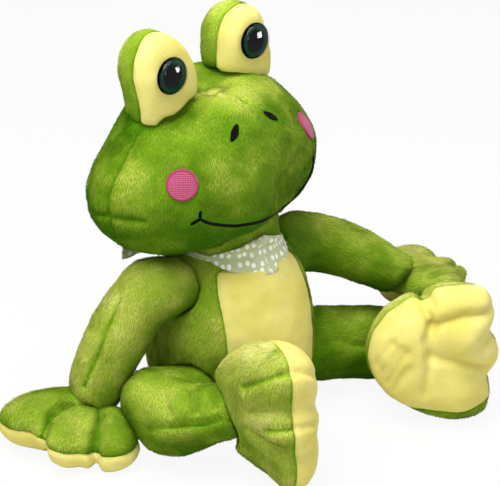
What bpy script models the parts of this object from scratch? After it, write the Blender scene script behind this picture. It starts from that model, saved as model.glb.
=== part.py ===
"""A seated plush frog: stuffed body, head, arms and legs sewn together at round seams,
with inlaid pale panels, screw-free snap eyes, embroidered features and a neck scarf.

Metres, +Z up, the frog faces -Y. The origin is the centre of the flat seat under the body.
Each stuffed form is one closed solid that stands for its fabric skin and the fibre filling.
"""
import math

import bmesh
import bpy
from mathutils import Matrix, Vector
from mathutils.bvhtree import BVHTree

OBJECT_NAME = "plush_frog"

# Fits and fabric
CLEARANCE = 0.0003
SEAT_CUT = 0.0005
PANEL_THICKNESS = 0.0035
PANEL_GAP = 0.0007
THREAD_LIFT = 0.0006
THREAD_THICKNESS = 0.0011
OVERRUN = 0.008
SMOOTH_ANGLE = math.radians(50.0)
LIMB_SIDES = 8
HEAD_COLUMNS = 20
SCARF_COLUMNS = 36
SEAT_SIDES = 24
EYE_SIDES = 20
LENS_SIDES = 24
BORE_SIDES = 16

# Body: a pear on a flat seat
TORSO_HEIGHT = 0.140
TORSO_HALF_WIDTH = 0.058
TUMMY_HALF_WIDTH = 0.037
NECK_RADIUS = 0.034
NECK_LENGTH = 0.0242
NECK_SEAT = 0.0225

# Head: a wide form with a muzzle, tilted to its right on the neck
HEAD_HALF_WIDTH = 0.091
HEAD_FRONT_DEPTH = 0.053
HEAD_BACK_DEPTH = 0.053
HEAD_HALF_HEIGHT = 0.058
HEAD_LIFT = 0.041
HEAD_SHIFT = 0.009
HEAD_BACK = 0.021
HEAD_ROLL = math.radians(-6.0)
HEAD_YAW = math.radians(5.0)
MUZZLE_REACH = 0.018
MUZZLE_POWER = 3

# Eye bumps on the crown, from the head's centre
BUMP_SPACING = 0.0370
BUMP_BACK = -0.003
BUMP_RISE = 0.057
BUMP_HALF_WIDTH = 0.0226
BUMP_HALF_DEPTH = 0.0215
BUMP_HALF_HEIGHT = 0.038

# Snap eyes: a domed clear lens on a black base with a ribbed stem and a locking washer
EYE_DIAMETER = 0.026
EYE_DOME_HEIGHT = 0.0085
EYE_BASE_THICKNESS = 0.0022
STEM_DIAMETER = 0.0046
STEM_LENGTH = 0.017
STEM_RIBS = 3
STEM_TIP_SHARE = 0.6
STEM_RIB_HEIGHT = 0.0003
WASHER_DIAMETER = 0.018
WASHER_THICKNESS = 0.0016
WASHER_DEPTH = 0.011
EYE_RISE = 0.009

# Embroidery, placed from the head's centre
CHEEK_DIAMETER = 0.0215
CHEEK_SPACING = 0.0560
CHEEK_RISE = 0.0035
NOSTRIL_LENGTH = 0.0115
NOSTRIL_WIDTH = 0.0050
NOSTRIL_SPACING = 0.018
NOSTRIL_TURN = math.radians(20.0)
NOSTRIL_RISE = 0.028
MOUTH_STROKE = 0.0023
MOUTH_HALF_WIDTH = 0.051
MOUTH_DROP = 0.028
MOUTH_CORNER_DROP = 0.018
MOUTH_TICK = 0.008
MOUTH_CORNER_SHARE = 0.9
MOUTH_CURVE_POWER = 0.8
MOUTH_TAIL_SLOPE_SHARE = 0.45
MOUTH_TICK_LEAN_SHARE = 0.4

# Arms and hands
ARM_RADIUS = 0.0205
ARM_LENGTH = 0.100
SHOULDER_OUT = 0.040
SHOULDER_FORWARD = 0.002
SHOULDER_HEIGHT = 0.102
SHOULDER_STUB = 0.017
HAND_REACH = 0.053
HAND_THICKNESS = 0.030
WRIST_RADIUS = 0.0185

# Legs and feet
LEG_RADIUS = 0.0293
LEG_LENGTH = 0.100
HIP_OUT = 0.044
HIP_FORWARD = 0.018
HIP_HEIGHT = 0.0280
HIP_TURN = math.radians(20.0)
HIP_STUB = 0.010
FOOT_REACH = 0.0625
FOOT_THICKNESS = 0.046
ANKLE_RADIUS = 0.0210
LIMB_FLARE_SHARE = 0.35

# Scarf
SCARF_THICKNESS = 0.0014
SCARF_DEPTH = 0.0224
SCARF_RISE = 0.013
SCARF_BAND = 0.0032
SCARF_DROP = 0.0125
SCARF_SPREAD = math.radians(62.0)
SCARF_LIFT = 0.0007
SCARF_FOLD = 0.0009
SCARF_FOLDS = 9
KNOT_LENGTH = 0.013
KNOT_RADIUS = 0.0055
TAIL_LENGTH = 0.046
TAIL_WIDTH = 0.014
TAIL_DROP = 0.006
TAIL_ROOT_SHARE = 0.35
TAIL_BELLY_SHARE = 0.8
KNOT_DEPTH = 0.0116

# Outlines as shares of the sizes above: height, width, depth
TORSO_STATION_SHARES = (
    (0.000, 0.78, 0.77), (0.090, 0.97, 0.96), (0.260, 1.06, 1.05), (0.440, 1.06, 1.05),
    (0.610, 0.99, 0.98), (0.750, 0.86, 0.86), (0.830, 0.72, 0.72), (0.870, 0.60, 0.60),
)
SEAT_WIDTH_SHARE = 0.50
TUMMY_STATIONS = range(2, 7)
TUMMY_LEAST_SHARE = 1.3
# Height, width, depth, muzzle
HEAD_STATION_SHARES = (
    (-1.02, 0.40, 0.44, 0.00), (-0.97, 0.64, 0.70, 0.12), (-0.75, 0.86, 0.94, 0.55),
    (-0.42, 1.01, 1.02, 1.05), (-0.10, 1.01, 1.01, 1.02), (0.24, 0.83, 0.91, 0.95),
    (0.52, 0.67, 0.79, 0.74), (0.75, 0.51, 0.60, 0.26), (0.83, 0.24, 0.28, 0.00),
)
# Eye bump: angle from the top as a share of a half turn, then width and height of the outline
BUMP_OUTLINE_SHARES = (
    (0.00, 0.00, 1.00), (0.17, 0.50, 0.88), (0.34, 0.88, 0.52), (0.50, 1.00, 0.06),
    (0.67, 1.02, -0.45), (0.84, 0.62, -0.95), (1.00, 0.00, -1.05),
)
# Size and depth of the bump's rows from the front's middle to the back; the seam ends the front
BUMP_ROW_SHARES = (
    (0.32, -0.86), (0.66, -0.78), (0.90, -0.62), (1.00, -0.30), (1.00, 0.20), (0.86, 0.66),
    (0.56, 0.92), (0.24, 1.00),
)
BUMP_PANEL_ROWS = 2
HAND_OUTLINE_SHARES = (
    (0.00, 0.64), (0.12, 0.66), (0.23, 0.56), (0.33, 0.84), (0.43, 1.02), (0.54, 0.98),
    (0.67, 0.76), (0.83, 0.64), (1.00, 0.60),
)
HAND_CREASE_COLUMN = 2
HEEL_LIFT_SHARE = 0.75
FOOT_OUTLINE_SHARES = (
    (0.00, 0.80), (0.07, 0.78), (0.125, 0.66), (0.19, 0.92), (0.28, 1.02), (0.38, 0.88),
    (0.52, 0.74), (0.76, 0.72), (1.00, 0.76),
)
FOOT_CREASE_COLUMN = 2
CREASE_SHARE = 0.55
# How far in and how high each row of a padded hand or foot lies
PAD_ROW_SHARES = ((0.42, 1.00), (0.86, 0.70), (1.00, 0.00))
# Routes after the stub: outward and forward as shares of the limb's length, upward as a share
# of the shoulder's height for an arm and of the limb's length for a leg
RIGHT_ARM_SHARES = (
    (0.33, -0.02, -0.01), (0.51, -0.07, -0.21), (0.60, -0.12, -0.46), (0.66, -0.16, -0.667),
)
LEFT_ARM_SHARES = ((0.34, 0.06, 0.00), (0.49, 0.21, -0.03), (0.63, 0.36, -0.09), (0.74, 0.47, -0.20))
RIGHT_LEG_SHARES = ((0.31, 0.02, 0.00), (0.40, 0.18, 0.01), (0.36, 0.39, 0.06), (0.16, 0.58, 0.15))
LEFT_LEG_SHARES = ((0.28, 0.08, 0.00), (0.48, 0.22, 0.01), (0.60, 0.42, 0.06), (0.52, 0.65, 0.13))
ARM_RADIUS_SHARES = (0.86, 0.86, 0.92, 1.05, 1.08, 1.04, 0.94)
LEG_RADIUS_SHARES = (0.80, 0.80, 0.86, 1.00, 1.02, 0.94, 0.72)
# Hands and feet: centre from the wrist or ankle, finger direction and back-of-hand direction
RIGHT_HAND_SHARES = ((-0.42, -0.06, -0.38), (-0.88, -0.47, -0.06), (0.0, -0.06, 1.0))
LEFT_HAND_SHARES = ((0.50, 0.09, -0.28), (0.86, -0.47, -0.18), (0.02, 0.16, 0.99))
RIGHT_FOOT_SHARES = ((0.27, -0.31, 0.12), (-0.42, -0.90, 0.0), (-0.90, 0.42, 0.0))
LEFT_FOOT_SHARES = ((-0.10, -0.32, 0.11), (0.80, -0.60, 0.0), (0.60, 0.80, 0.0))

# Heights that follow from the sizes above
NECK_HEIGHT = TORSO_HEIGHT * TORSO_STATION_SHARES[-1][0] + NECK_LENGTH
NECK_START_HEIGHT = NECK_HEIGHT - NECK_SEAT
HEAD_CENTRE_HEIGHT = NECK_HEIGHT + HEAD_LIFT
SCARF_TOP = NECK_HEIGHT - SCARF_DEPTH
KNOT_HEIGHT = SCARF_TOP - KNOT_DEPTH

GREEN = (0.27, 0.44, 0.05)
YELLOW = (0.86, 0.80, 0.30)
SAGE = (0.47, 0.56, 0.32)
PINK = (0.72, 0.10, 0.30)
BLACK = (0.012, 0.012, 0.012)
IRIS_GREEN = (0.01, 0.16, 0.07)
WHITE_PLASTIC = (0.75, 0.75, 0.72)


def start_empty():
    """Remove what the file holds and make the two collections."""
    for item in list(bpy.data.objects):
        bpy.data.objects.remove(item, do_unlink=True)
    made = []
    for name in (OBJECT_NAME, "cutters"):
        collection = bpy.data.collections.new(name)
        bpy.context.scene.collection.children.link(collection)
        made.append(collection)
    return made


PARTS, CUTTERS = start_empty()


def material(name, colour, roughness, metallic=0.0):
    """Return a plain Principled material."""
    made = bpy.data.materials.new(name)
    made.use_nodes = True
    shader = made.node_tree.nodes["Principled BSDF"]
    shader.inputs["Base Color"].default_value = (*colour, 1.0)
    shader.inputs["Roughness"].default_value = roughness
    shader.inputs["Metallic"].default_value = metallic
    return made


def empty(name, location, parent=None, rotation=None):
    """Add an empty at a world location, for instance on a joint axis."""
    made = bpy.data.objects.new(name, None)
    PARTS.objects.link(made)
    made.parent = parent
    made.empty_display_size = CLEARANCE
    turn = rotation.to_4x4() if rotation is not None else Matrix.Identity(4)
    world = Matrix.Translation(location) @ turn
    base = WORLD_OF.get(parent, Matrix.Identity(4))
    made.matrix_local = base.inverted() @ world
    WORLD_OF[made] = world
    return made


WORLD_OF = {}


def add_part(name, mesh, look, parent):
    """Link a mesh whose points are in world places, with its origin at its parent."""
    made = bpy.data.objects.new(name, mesh)
    PARTS.objects.link(made)
    if parent is not None:
        mesh.transform(WORLD_OF[parent].inverted())
        made.parent = parent
    mesh.materials.clear()
    mesh.materials.append(look)
    mesh.shade_smooth()
    mesh.set_sharp_from_angle(angle=SMOOTH_ANGLE)
    return made


def mesh_from(bm, name):
    """Turn a bmesh into a mesh with its faces pointing out."""
    bmesh.ops.recalc_face_normals(bm, faces=bm.faces)
    mesh = bpy.data.meshes.new(name)
    bm.to_mesh(mesh)
    bm.free()
    return mesh


def loft(rings, marked=None, first_cap=False):
    """Join rings of equally many points, first to last, cap both ends and mark a panel's faces."""
    bm = bmesh.new()
    rows = [[bm.verts.new(point) for point in ring] for ring in rings]
    count = len(rows[0])
    for row in range(len(rows) - 1):
        low, high = rows[row], rows[row + 1]
        for index in range(count):
            after = (index + 1) % count
            face = bm.faces.new((low[index], low[after], high[after], high[index]))
            face.material_index = int(marked is not None and marked(row, index))
    first = bm.faces.new(reversed(rows[0]))
    first.material_index = int(first_cap)
    last = bm.faces.new(rows[-1])
    last.material_index = int(marked is not None and marked(len(rows) - 1, 0))
    return bm


def evaluated(maker):
    """Return the mesh that an object's modifiers make, and remove the object."""
    bpy.context.view_layer.update()
    graph = bpy.context.evaluated_depsgraph_get()
    mesh = bpy.data.meshes.new_from_object(maker.evaluated_get(graph))
    bpy.data.objects.remove(maker)
    return mesh


def softened(bm, name):
    """Subdivide a cage once and return the smooth mesh."""
    cage = bpy.data.objects.new(name, mesh_from(bm, name + "_cage"))
    CUTTERS.objects.link(cage)
    smooth = cage.modifiers.new("Subdivision", "SUBSURF")
    smooth.levels = 1
    smooth.render_levels = 1
    return evaluated(cage)


def turned(profile, name, sides, closed=False):
    """Turn a profile of (radius, height) points round Z, with a Screw modifier."""
    bm = bmesh.new()
    line = [bm.verts.new((radius, 0, height)) for radius, height in profile]
    for first, second in zip(line, line[1:]):
        bm.edges.new((first, second))
    if closed:
        bm.edges.new((line[-1], line[0]))
    mesh = bpy.data.meshes.new(name + "_profile")
    bm.to_mesh(mesh)
    bm.free()
    maker = bpy.data.objects.new(name, mesh)
    CUTTERS.objects.link(maker)
    screw = maker.modifiers.new("Screw", "SCREW")
    screw.steps = sides
    screw.render_steps = sides
    screw.use_merge_vertices = True
    screw.merge_threshold = CLEARANCE / 10
    return evaluated(maker)


def cut_flat(mesh, point, normal):
    """Remove what lies beyond a plane and close the cut, in the look of the faces round it."""
    bm = bmesh.new()
    bm.from_mesh(mesh)
    geometry = bm.verts[:] + bm.edges[:] + bm.faces[:]
    cut = bmesh.ops.bisect_plane(bm, geom=geometry, plane_co=point, plane_no=normal,
                                 clear_outer=True, dist=CLEARANCE / 10)
    edges = [item for item in cut["geom_cut"] if isinstance(item, bmesh.types.BMEdge)]
    if edges:
        filled = bmesh.ops.holes_fill(bm, edges=edges, sides=0)["faces"]
        for face in filled:
            around = [near for edge in face.edges for near in edge.link_faces if near is not face]
            face.material_index = max(near.material_index for near in around)
    bmesh.ops.recalc_face_normals(bm, faces=bm.faces)
    bm.to_mesh(mesh)
    bm.free()
    return mesh


def stood_on_floor(mesh):
    """Cut a form flat where it meets the floor."""
    if min(vert.co.z for vert in mesh.vertices) < 0:
        cut_flat(mesh, Vector((0, 0, 0)), Vector((0, 0, -1)))
    return mesh


def in_triangles(mesh):
    """Split a form's marked and many-sided faces, so that a panel and its recess are split alike."""
    bm = bmesh.new()
    bm.from_mesh(mesh)
    bmesh.ops.triangulate(bm, faces=[face for face in bm.faces
                                     if face.material_index == 1 or len(face.verts) > 4])
    bm.to_mesh(mesh)
    bm.free()


def marked_faces(bm):
    """Return the faces that a panel covers, marked by their second material slot."""
    return [face for face in bm.faces if face.material_index == 1]


def region_normals(faces):
    """Return each point's normal within a set of faces."""
    sums = {}
    for face in faces:
        for vert in face.verts:
            sums[vert] = sums.get(vert, Vector()) + face.normal * face.calc_area()
    return {vert: total.normalized() for vert, total in sums.items()}


def inlaid(mesh, name):
    """Sink the marked faces of a form and return the panel that fills the recess."""
    in_triangles(mesh)
    panel = bmesh.new()
    panel.from_mesh(mesh)
    inner = marked_faces(panel)
    bmesh.ops.inset_region(panel, faces=inner, thickness=PANEL_GAP, depth=0, use_even_offset=True)
    kept = set(inner)
    bmesh.ops.delete(panel, geom=[face for face in panel.faces if face not in kept], context="FACES")
    panel.normal_update()
    pushes = region_normals(panel.faces)
    tops = list(panel.faces)
    copies = {vert: panel.verts.new(vert.co - push * PANEL_THICKNESS) for vert, push in pushes.items()}
    rims = [edge for edge in panel.edges if len(edge.link_faces) == 1]
    for face in tops:
        panel.faces.new([copies[vert] for vert in reversed(face.verts)])
    for edge in rims:
        first, second = edge.verts
        panel.faces.new((first, second, copies[second], copies[first]))
    for face in panel.faces:
        face.material_index = 0

    form = bmesh.new()
    form.from_mesh(mesh)
    form.normal_update()
    faces = marked_faces(form)
    pushes = region_normals(faces)
    chosen = set(faces)
    rims = [edge for face in faces for edge in face.edges
            if sum(near in chosen for near in edge.link_faces) == 1]
    copies = {vert: form.verts.new(vert.co - push * (PANEL_THICKNESS + PANEL_GAP))
              for vert, push in pushes.items()}
    floors = [[copies[vert] for vert in face.verts] for face in faces]
    walls = [(edge.verts[0], edge.verts[1], copies[edge.verts[1]], copies[edge.verts[0]])
             for edge in rims]
    bmesh.ops.delete(form, geom=faces, context="FACES")
    for corners in floors + [list(wall) for wall in walls]:
        form.faces.new(corners)
    for face in form.faces:
        face.material_index = 0
    bmesh.ops.recalc_face_normals(form, faces=form.faces)
    form.to_mesh(mesh)
    form.free()
    return mesh_from(panel, name)


def frame_along(axis):
    """Return a rotation whose Z is the given axis."""
    z = Vector(axis).normalized()
    hint = Vector((0, 0, 1))
    if abs(z.dot(hint)) > 0.99:
        hint = Vector((0, 1, 0))
    x = hint.cross(z).normalized()
    y = z.cross(x)
    return Matrix((x, y, z)).transposed()


def ring_at(centre, axis, radius, sides):
    """Return a ring of points round an axis."""
    turn = frame_along(axis)
    points = []
    for index in range(sides):
        angle = 2 * math.pi * index / sides
        local = Vector((math.cos(angle) * radius, math.sin(angle) * radius, 0))
        points.append(centre + turn @ local)
    return points


def socket(form, name, centre, axis, radius, reach, flare=0.0):
    """Cut a round flat-bottomed seat into a form, open along the axis and flared to its mouth."""
    grown = (radius + CLEARANCE) / math.cos(math.pi / SEAT_SIDES)
    bm = bmesh.new()
    bmesh.ops.create_cone(bm, cap_ends=True, segments=SEAT_SIDES, radius1=grown,
                          radius2=grown + reach * flare, depth=reach)
    cutter = bpy.data.objects.new(name, mesh_from(bm, name))
    CUTTERS.objects.link(cutter)
    direction = Vector(axis).normalized()
    middle = centre - direction * CLEARANCE + direction * (reach / 2)
    cutter.matrix_world = Matrix.Translation(middle) @ frame_along(direction).to_4x4()
    cutter.hide_render = True
    cutter.display_type = "WIRE"
    subtract(form, cutter)
    return cutter


def subtract(form, cutter):
    """Cut one object out of another with an exact Boolean."""
    made = form.modifiers.new("Cut by " + cutter.name, "BOOLEAN")
    made.operation = "DIFFERENCE"
    made.solver = "EXACT"
    made.object = cutter
    return made


def limb_route(start, axis, stub, shares, length, fall, side):
    """Return the route of a limb: out of its seat, then by shares of its length and its fall."""
    points = [start - axis * stub, start, start + axis * stub]
    for outward, forward, up in shares:
        points.append(start + Vector((side * outward * length, -forward * length, up * fall)))
    return points


def limb_cage(points, axis, radii):
    """Loft a stuffed tube along a route, straight and round near its first end."""
    rings = []
    for index, spot in enumerate(points):
        before = points[max(index - 1, 0)]
        after = points[min(index + 1, len(points) - 1)]
        direction = axis if index < 3 else after - before
        rings.append(ring_at(spot, direction, radii[index], LIMB_SIDES))
    return loft(rings)


# Materials
GREEN_PLUSH = material("green_plush", GREEN, 0.9)
YELLOW_PLUSH = material("yellow_plush", YELLOW, 0.85)
SCARF_CLOTH = material("scarf_cloth", SAGE, 0.9)
PINK_THREAD = material("pink_thread", PINK, 0.7)
BLACK_THREAD = material("black_thread", BLACK, 0.7)
BLACK_PLASTIC = material("black_plastic", BLACK, 0.15)
CLEAR_PLASTIC = material("clear_plastic", IRIS_GREEN, 0.05)
WASHER_PLASTIC = material("washer_plastic", WHITE_PLASTIC, 0.4)


def spread_half_turn(edge, inner, outer):
    """Return angles from 0 to a half turn with one of them on an edge."""
    angles = [edge * step / inner for step in range(inner + 1)]
    angles += [edge + (math.pi - edge) * step / outer for step in range(1, outer + 1)]
    return angles


def whole_turn(half):
    """Return the angles of a whole turn from those of its first half."""
    return half + [-angle for angle in reversed(half[1:-1])]


def make_torso():
    """The pear-shaped body with its inlaid tummy panel and the seats of neck and limbs."""
    rings = []
    levels = [(-SEAT_CUT, SEAT_WIDTH_SHARE, SEAT_WIDTH_SHARE)]
    levels += [(share * TORSO_HEIGHT, width, depth) for share, width, depth in TORSO_STATION_SHARES]
    for height, width, depth in levels:
        across = width * TORSO_HALF_WIDTH
        deep = depth * TORSO_HALF_WIDTH
        edge = math.asin(TUMMY_HALF_WIDTH / max(across, TUMMY_HALF_WIDTH * TUMMY_LEAST_SHARE))
        angles = whole_turn(spread_half_turn(edge, 2, 6))
        rings.append([Vector((across * math.sin(angle), -deep * math.cos(angle), height))
                      for angle in angles])
    neck_angles = [math.atan2(point.x, -point.y) for point in rings[-1]]
    for height in (NECK_START_HEIGHT, NECK_HEIGHT, NECK_HEIGHT + OVERRUN):
        rings.append([Vector((NECK_RADIUS * math.sin(angle), -NECK_RADIUS * math.cos(angle), height))
                      for angle in neck_angles])
    columns = len(rings[0])
    front = (0, 1, columns - 1, columns - 2)
    cage = loft(rings, lambda row, column: row in TUMMY_STATIONS and column in front)
    mesh = softened(cage, "torso")
    stood_on_floor(mesh)
    cut_flat(mesh, Vector((0, 0, NECK_HEIGHT - CLEARANCE)), Vector((0, 0, 1)))
    tree = form_tree(mesh)
    panel = inlaid(mesh, "tummy_panel")
    torso = add_part("torso", mesh, GREEN_PLUSH, None)
    add_part("tummy_panel", panel, YELLOW_PLUSH, None)
    return torso, tree


def head_ring(height, width, depth, muzzle):
    """Return one level of the head in its own frame."""
    points = []
    for index in range(HEAD_COLUMNS):
        angle = 2 * math.pi * index / HEAD_COLUMNS
        across = width * HEAD_HALF_WIDTH * math.sin(angle)
        facing = math.cos(angle)
        deep = HEAD_FRONT_DEPTH if facing > 0 else HEAD_BACK_DEPTH
        push = muzzle * MUZZLE_REACH * max(facing, 0) ** MUZZLE_POWER
        points.append(Vector((across, -(depth * deep * facing + push), height * HEAD_HALF_HEIGHT)))
    return points


def make_head(neck, frame):
    """The head form, seated over the round top of the body."""
    rings = [head_ring(*shares) for shares in HEAD_STATION_SHARES]
    mesh = softened(loft(rings), "head")
    mesh.transform(WORLD_OF[frame])
    kept = mesh.copy()
    head = add_part("head", mesh, GREEN_PLUSH, neck)
    top = Vector((0, 0, NECK_HEIGHT))
    socket(head, "neck_seat", top, Vector((0, 0, -1)), NECK_RADIUS, NECK_HEIGHT / 2)
    return head, kept


def bump_rings(centre):
    """Return the rows of one eye bump in the head's frame, from its front to its back."""
    half = list(BUMP_OUTLINE_SHARES)
    outline = [(wide, high) for _, wide, high in half]
    outline += [(-wide, high) for _, wide, high in reversed(half[1:-1])]
    return [[centre + Vector((wide * size * BUMP_HALF_WIDTH, deep * BUMP_HALF_DEPTH,
                              high * size * BUMP_HALF_HEIGHT)) for wide, high in outline]
            for size, deep in BUMP_ROW_SHARES]


def cutter_from(mesh, name, form):
    """Keep a mesh as a cutter of a form."""
    cutter = bpy.data.objects.new(name, mesh)
    CUTTERS.objects.link(cutter)
    cutter.hide_render = True
    cutter.display_type = "WIRE"
    subtract(form, cutter)
    return cutter


def grown_copy(mesh, name, amount):
    """Return a copy of a mesh moved out along its normals."""
    bm = bmesh.new()
    bm.from_mesh(mesh)
    bm.normal_update()
    pushes = [vert.normal.copy() for vert in bm.verts]
    for vert, push in zip(bm.verts, pushes):
        vert.co += push * amount
    return mesh_from(bm, name)


def surface_hit(tree, origin, direction):
    """Return where a ray meets a form, and the form's normal there."""
    place, normal, _, _ = tree.ray_cast(origin, direction)
    return place, normal


def make_eye(name, frame, tree, hood, front_panel, aim_from, aim):
    """One snap eye: clear domed lens, black base with a ribbed stem, and locking washer."""
    place, _ = surface_hit(tree, aim_from, aim)
    out = -aim
    seat = place + out * CLEARANCE * 2
    turn = frame_along(out).to_4x4()
    world = Matrix.Translation(seat) @ turn
    radius = EYE_DIAMETER / 2
    stem = STEM_DIAMETER / 2
    pitch = STEM_LENGTH / (2 * STEM_RIBS + 2)
    profile = [(0, EYE_BASE_THICKNESS), (radius, EYE_BASE_THICKNESS), (radius, 0), (stem, 0)]
    for index in range(STEM_RIBS):
        high = -pitch * (2 * index + 1)
        profile += [(stem, high), (stem + STEM_RIB_HEIGHT, high - pitch / 2), (stem, high - pitch)]
    profile += [(stem * STEM_TIP_SHARE, -STEM_LENGTH), (0, -STEM_LENGTH)]
    base = turned(profile, "eye_base_" + name, EYE_SIDES)
    base.transform(world)
    add_part("eye_base_" + name, base, BLACK_PLASTIC, frame)
    steps = 6
    start = EYE_BASE_THICKNESS + CLEARANCE
    dome = [(0, start + EYE_DOME_HEIGHT)]
    for index in range(1, steps + 1):
        angle = math.pi / 2 * index / steps
        dome.append((radius * math.sin(angle), start + EYE_DOME_HEIGHT * math.cos(angle)))
    dome.append((0, start))
    lens = turned(dome, "eye_lens_" + name, LENS_SIDES)
    lens.transform(world)
    add_part("eye_lens_" + name, lens, CLEAR_PLASTIC, frame)
    hole = stem + STEM_RIB_HEIGHT + CLEARANCE
    outside = WASHER_DIAMETER / 2
    washer = turned([(hole, WASHER_THICKNESS), (outside, WASHER_THICKNESS), (outside, 0), (hole, 0)],
                    "eye_washer_" + name, EYE_SIDES, closed=True)
    washer.transform(world @ Matrix.Translation((0, 0, -WASHER_DEPTH)))
    add_part("eye_washer_" + name, washer, WASHER_PLASTIC, frame)
    deep = -STEM_LENGTH - CLEARANCE * 2
    bore = turned([(0, EYE_DIAMETER), (hole, EYE_DIAMETER), (hole, deep), (0, deep)],
                  "eye_bore_" + name, BORE_SIDES)
    bore.transform(world)
    cutter_from(bore, "eye_bore_" + name, front_panel)
    cutter_from(bore.copy(), "eye_hood_bore_" + name, hood)
    wide, top = outside + CLEARANCE, WASHER_THICKNESS + CLEARANCE
    pocket = turned([(0, top), (wide, top), (wide, -CLEARANCE), (0, -CLEARANCE)],
                    "washer_pocket_" + name, EYE_SIDES)
    pocket.transform(world @ Matrix.Translation((0, 0, -WASHER_DEPTH)))
    cutter_from(pocket, "washer_pocket_" + name, hood)


def form_tree(mesh):
    """Return a search tree of a mesh in world places."""
    bm = bmesh.new()
    bm.from_mesh(mesh)
    tree = BVHTree.FromBMesh(bm)
    bm.free()
    return tree


def make_bump(side, name, frame, head_mesh):
    """One eye bump: a green hood with an inlaid pale front and a snap eye, cut by the head."""
    centre = Vector((side * BUMP_SPACING, BUMP_BACK, BUMP_RISE))
    cage = loft(bump_rings(centre), lambda row, column: row < BUMP_PANEL_ROWS, True)
    mesh = softened(cage, name)
    mesh.transform(WORLD_OF[frame])
    tree = form_tree(mesh)
    panel = inlaid(mesh, "eye_panel_" + name)
    hood = add_part("eye_bump_" + name, mesh, GREEN_PLUSH, frame)
    front_panel = add_part("eye_panel_" + name, panel, YELLOW_PLUSH, frame)
    for form in (hood, front_panel):
        cutter_from(grown_copy(head_mesh, "head_cut", CLEARANCE), "head_cut_" + form.name, form)
    aim = (WORLD_OF[frame].to_3x3() @ Vector((0, 1, 0))).normalized()
    high = WORLD_OF[frame] @ (centre + Vector((0, -EYE_DIAMETER * 2, EYE_RISE)))
    make_eye(name, frame, tree, hood, front_panel, high, aim)


def raised_patch(tree, rows, name):
    """Lay a grid of aimed points on a form and give it a thread's thickness."""
    bm = bmesh.new()
    laid = []
    for row in rows:
        line = []
        for origin, aim in row:
            place, normal = surface_hit(tree, origin, aim)
            line.append((bm.verts.new(place + normal * THREAD_LIFT),
                         bm.verts.new(place + normal * (THREAD_LIFT + THREAD_THICKNESS))))
        laid.append(line)
    for low, high in zip(laid, laid[1:]):
        for left in range(len(low) - 1):
            quad = (low[left], low[left + 1], high[left + 1], high[left])
            bm.faces.new([pair[1] for pair in quad])
            bm.faces.new([pair[0] for pair in reversed(quad)])
    border = [(laid[0][index], laid[0][index + 1]) for index in range(len(laid[0]) - 1)]
    border += [(line[-1], after[-1]) for line, after in zip(laid, laid[1:])]
    border += [(laid[-1][index + 1], laid[-1][index]) for index in range(len(laid[0]) - 1)]
    border += [(after[0], line[0]) for line, after in zip(laid, laid[1:])]
    for first, second in border:
        bm.faces.new((first[0], second[0], second[1], first[1]))
    return mesh_from(bm, name)


def disc_rows(tree, frame, x, z, half_x, half_z, turn, count=8):
    """Return rows of aimed points that fill an oval on the form, square to the form there."""
    rows = []
    reach = HEAD_HALF_WIDTH * 2
    ahead = (frame.to_3x3() @ Vector((0, 1, 0))).normalized()
    middle, normal = surface_hit(tree, frame @ Vector((x, -reach, z)), ahead)
    aim = -normal
    side = Vector((0, 0, 1)).cross(aim).normalized()
    rise = aim.cross(side)
    tilt = Matrix.Rotation(turn, 3, aim)
    side, rise = tilt @ side, tilt @ rise
    for row in range(count + 1):
        line = []
        for column in range(count + 1):
            u = 2 * row / count - 1
            v = 2 * column / count - 1
            across = u * math.sqrt(1 - v * v / 2)
            up = v * math.sqrt(1 - u * u / 2)
            on = middle + side * across * half_x + rise * up * half_z
            line.append((on - aim * half_x, aim))
        rows.append(line)
    return rows


def stroke_rows(frame, points, width):
    """Return two rows of aimed points along each side of a stitched line."""
    rows = [[], [], []]
    aim = Vector((0, 1, 0))
    reach = HEAD_HALF_WIDTH * 2
    for index, (x, z) in enumerate(points):
        before = points[max(index - 1, 0)]
        after = points[min(index + 1, len(points) - 1)]
        along = Vector((after[0] - before[0], 0, after[1] - before[1])).normalized()
        over = Vector((-along.z, 0, along.x))
        for row, share in enumerate((-0.5, 0, 0.5)):
            on = Vector((x, 0, z)) + over * share * width
            rows[row].append((frame @ (on - aim * reach), (frame.to_3x3() @ aim).normalized()))
    return rows


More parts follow.
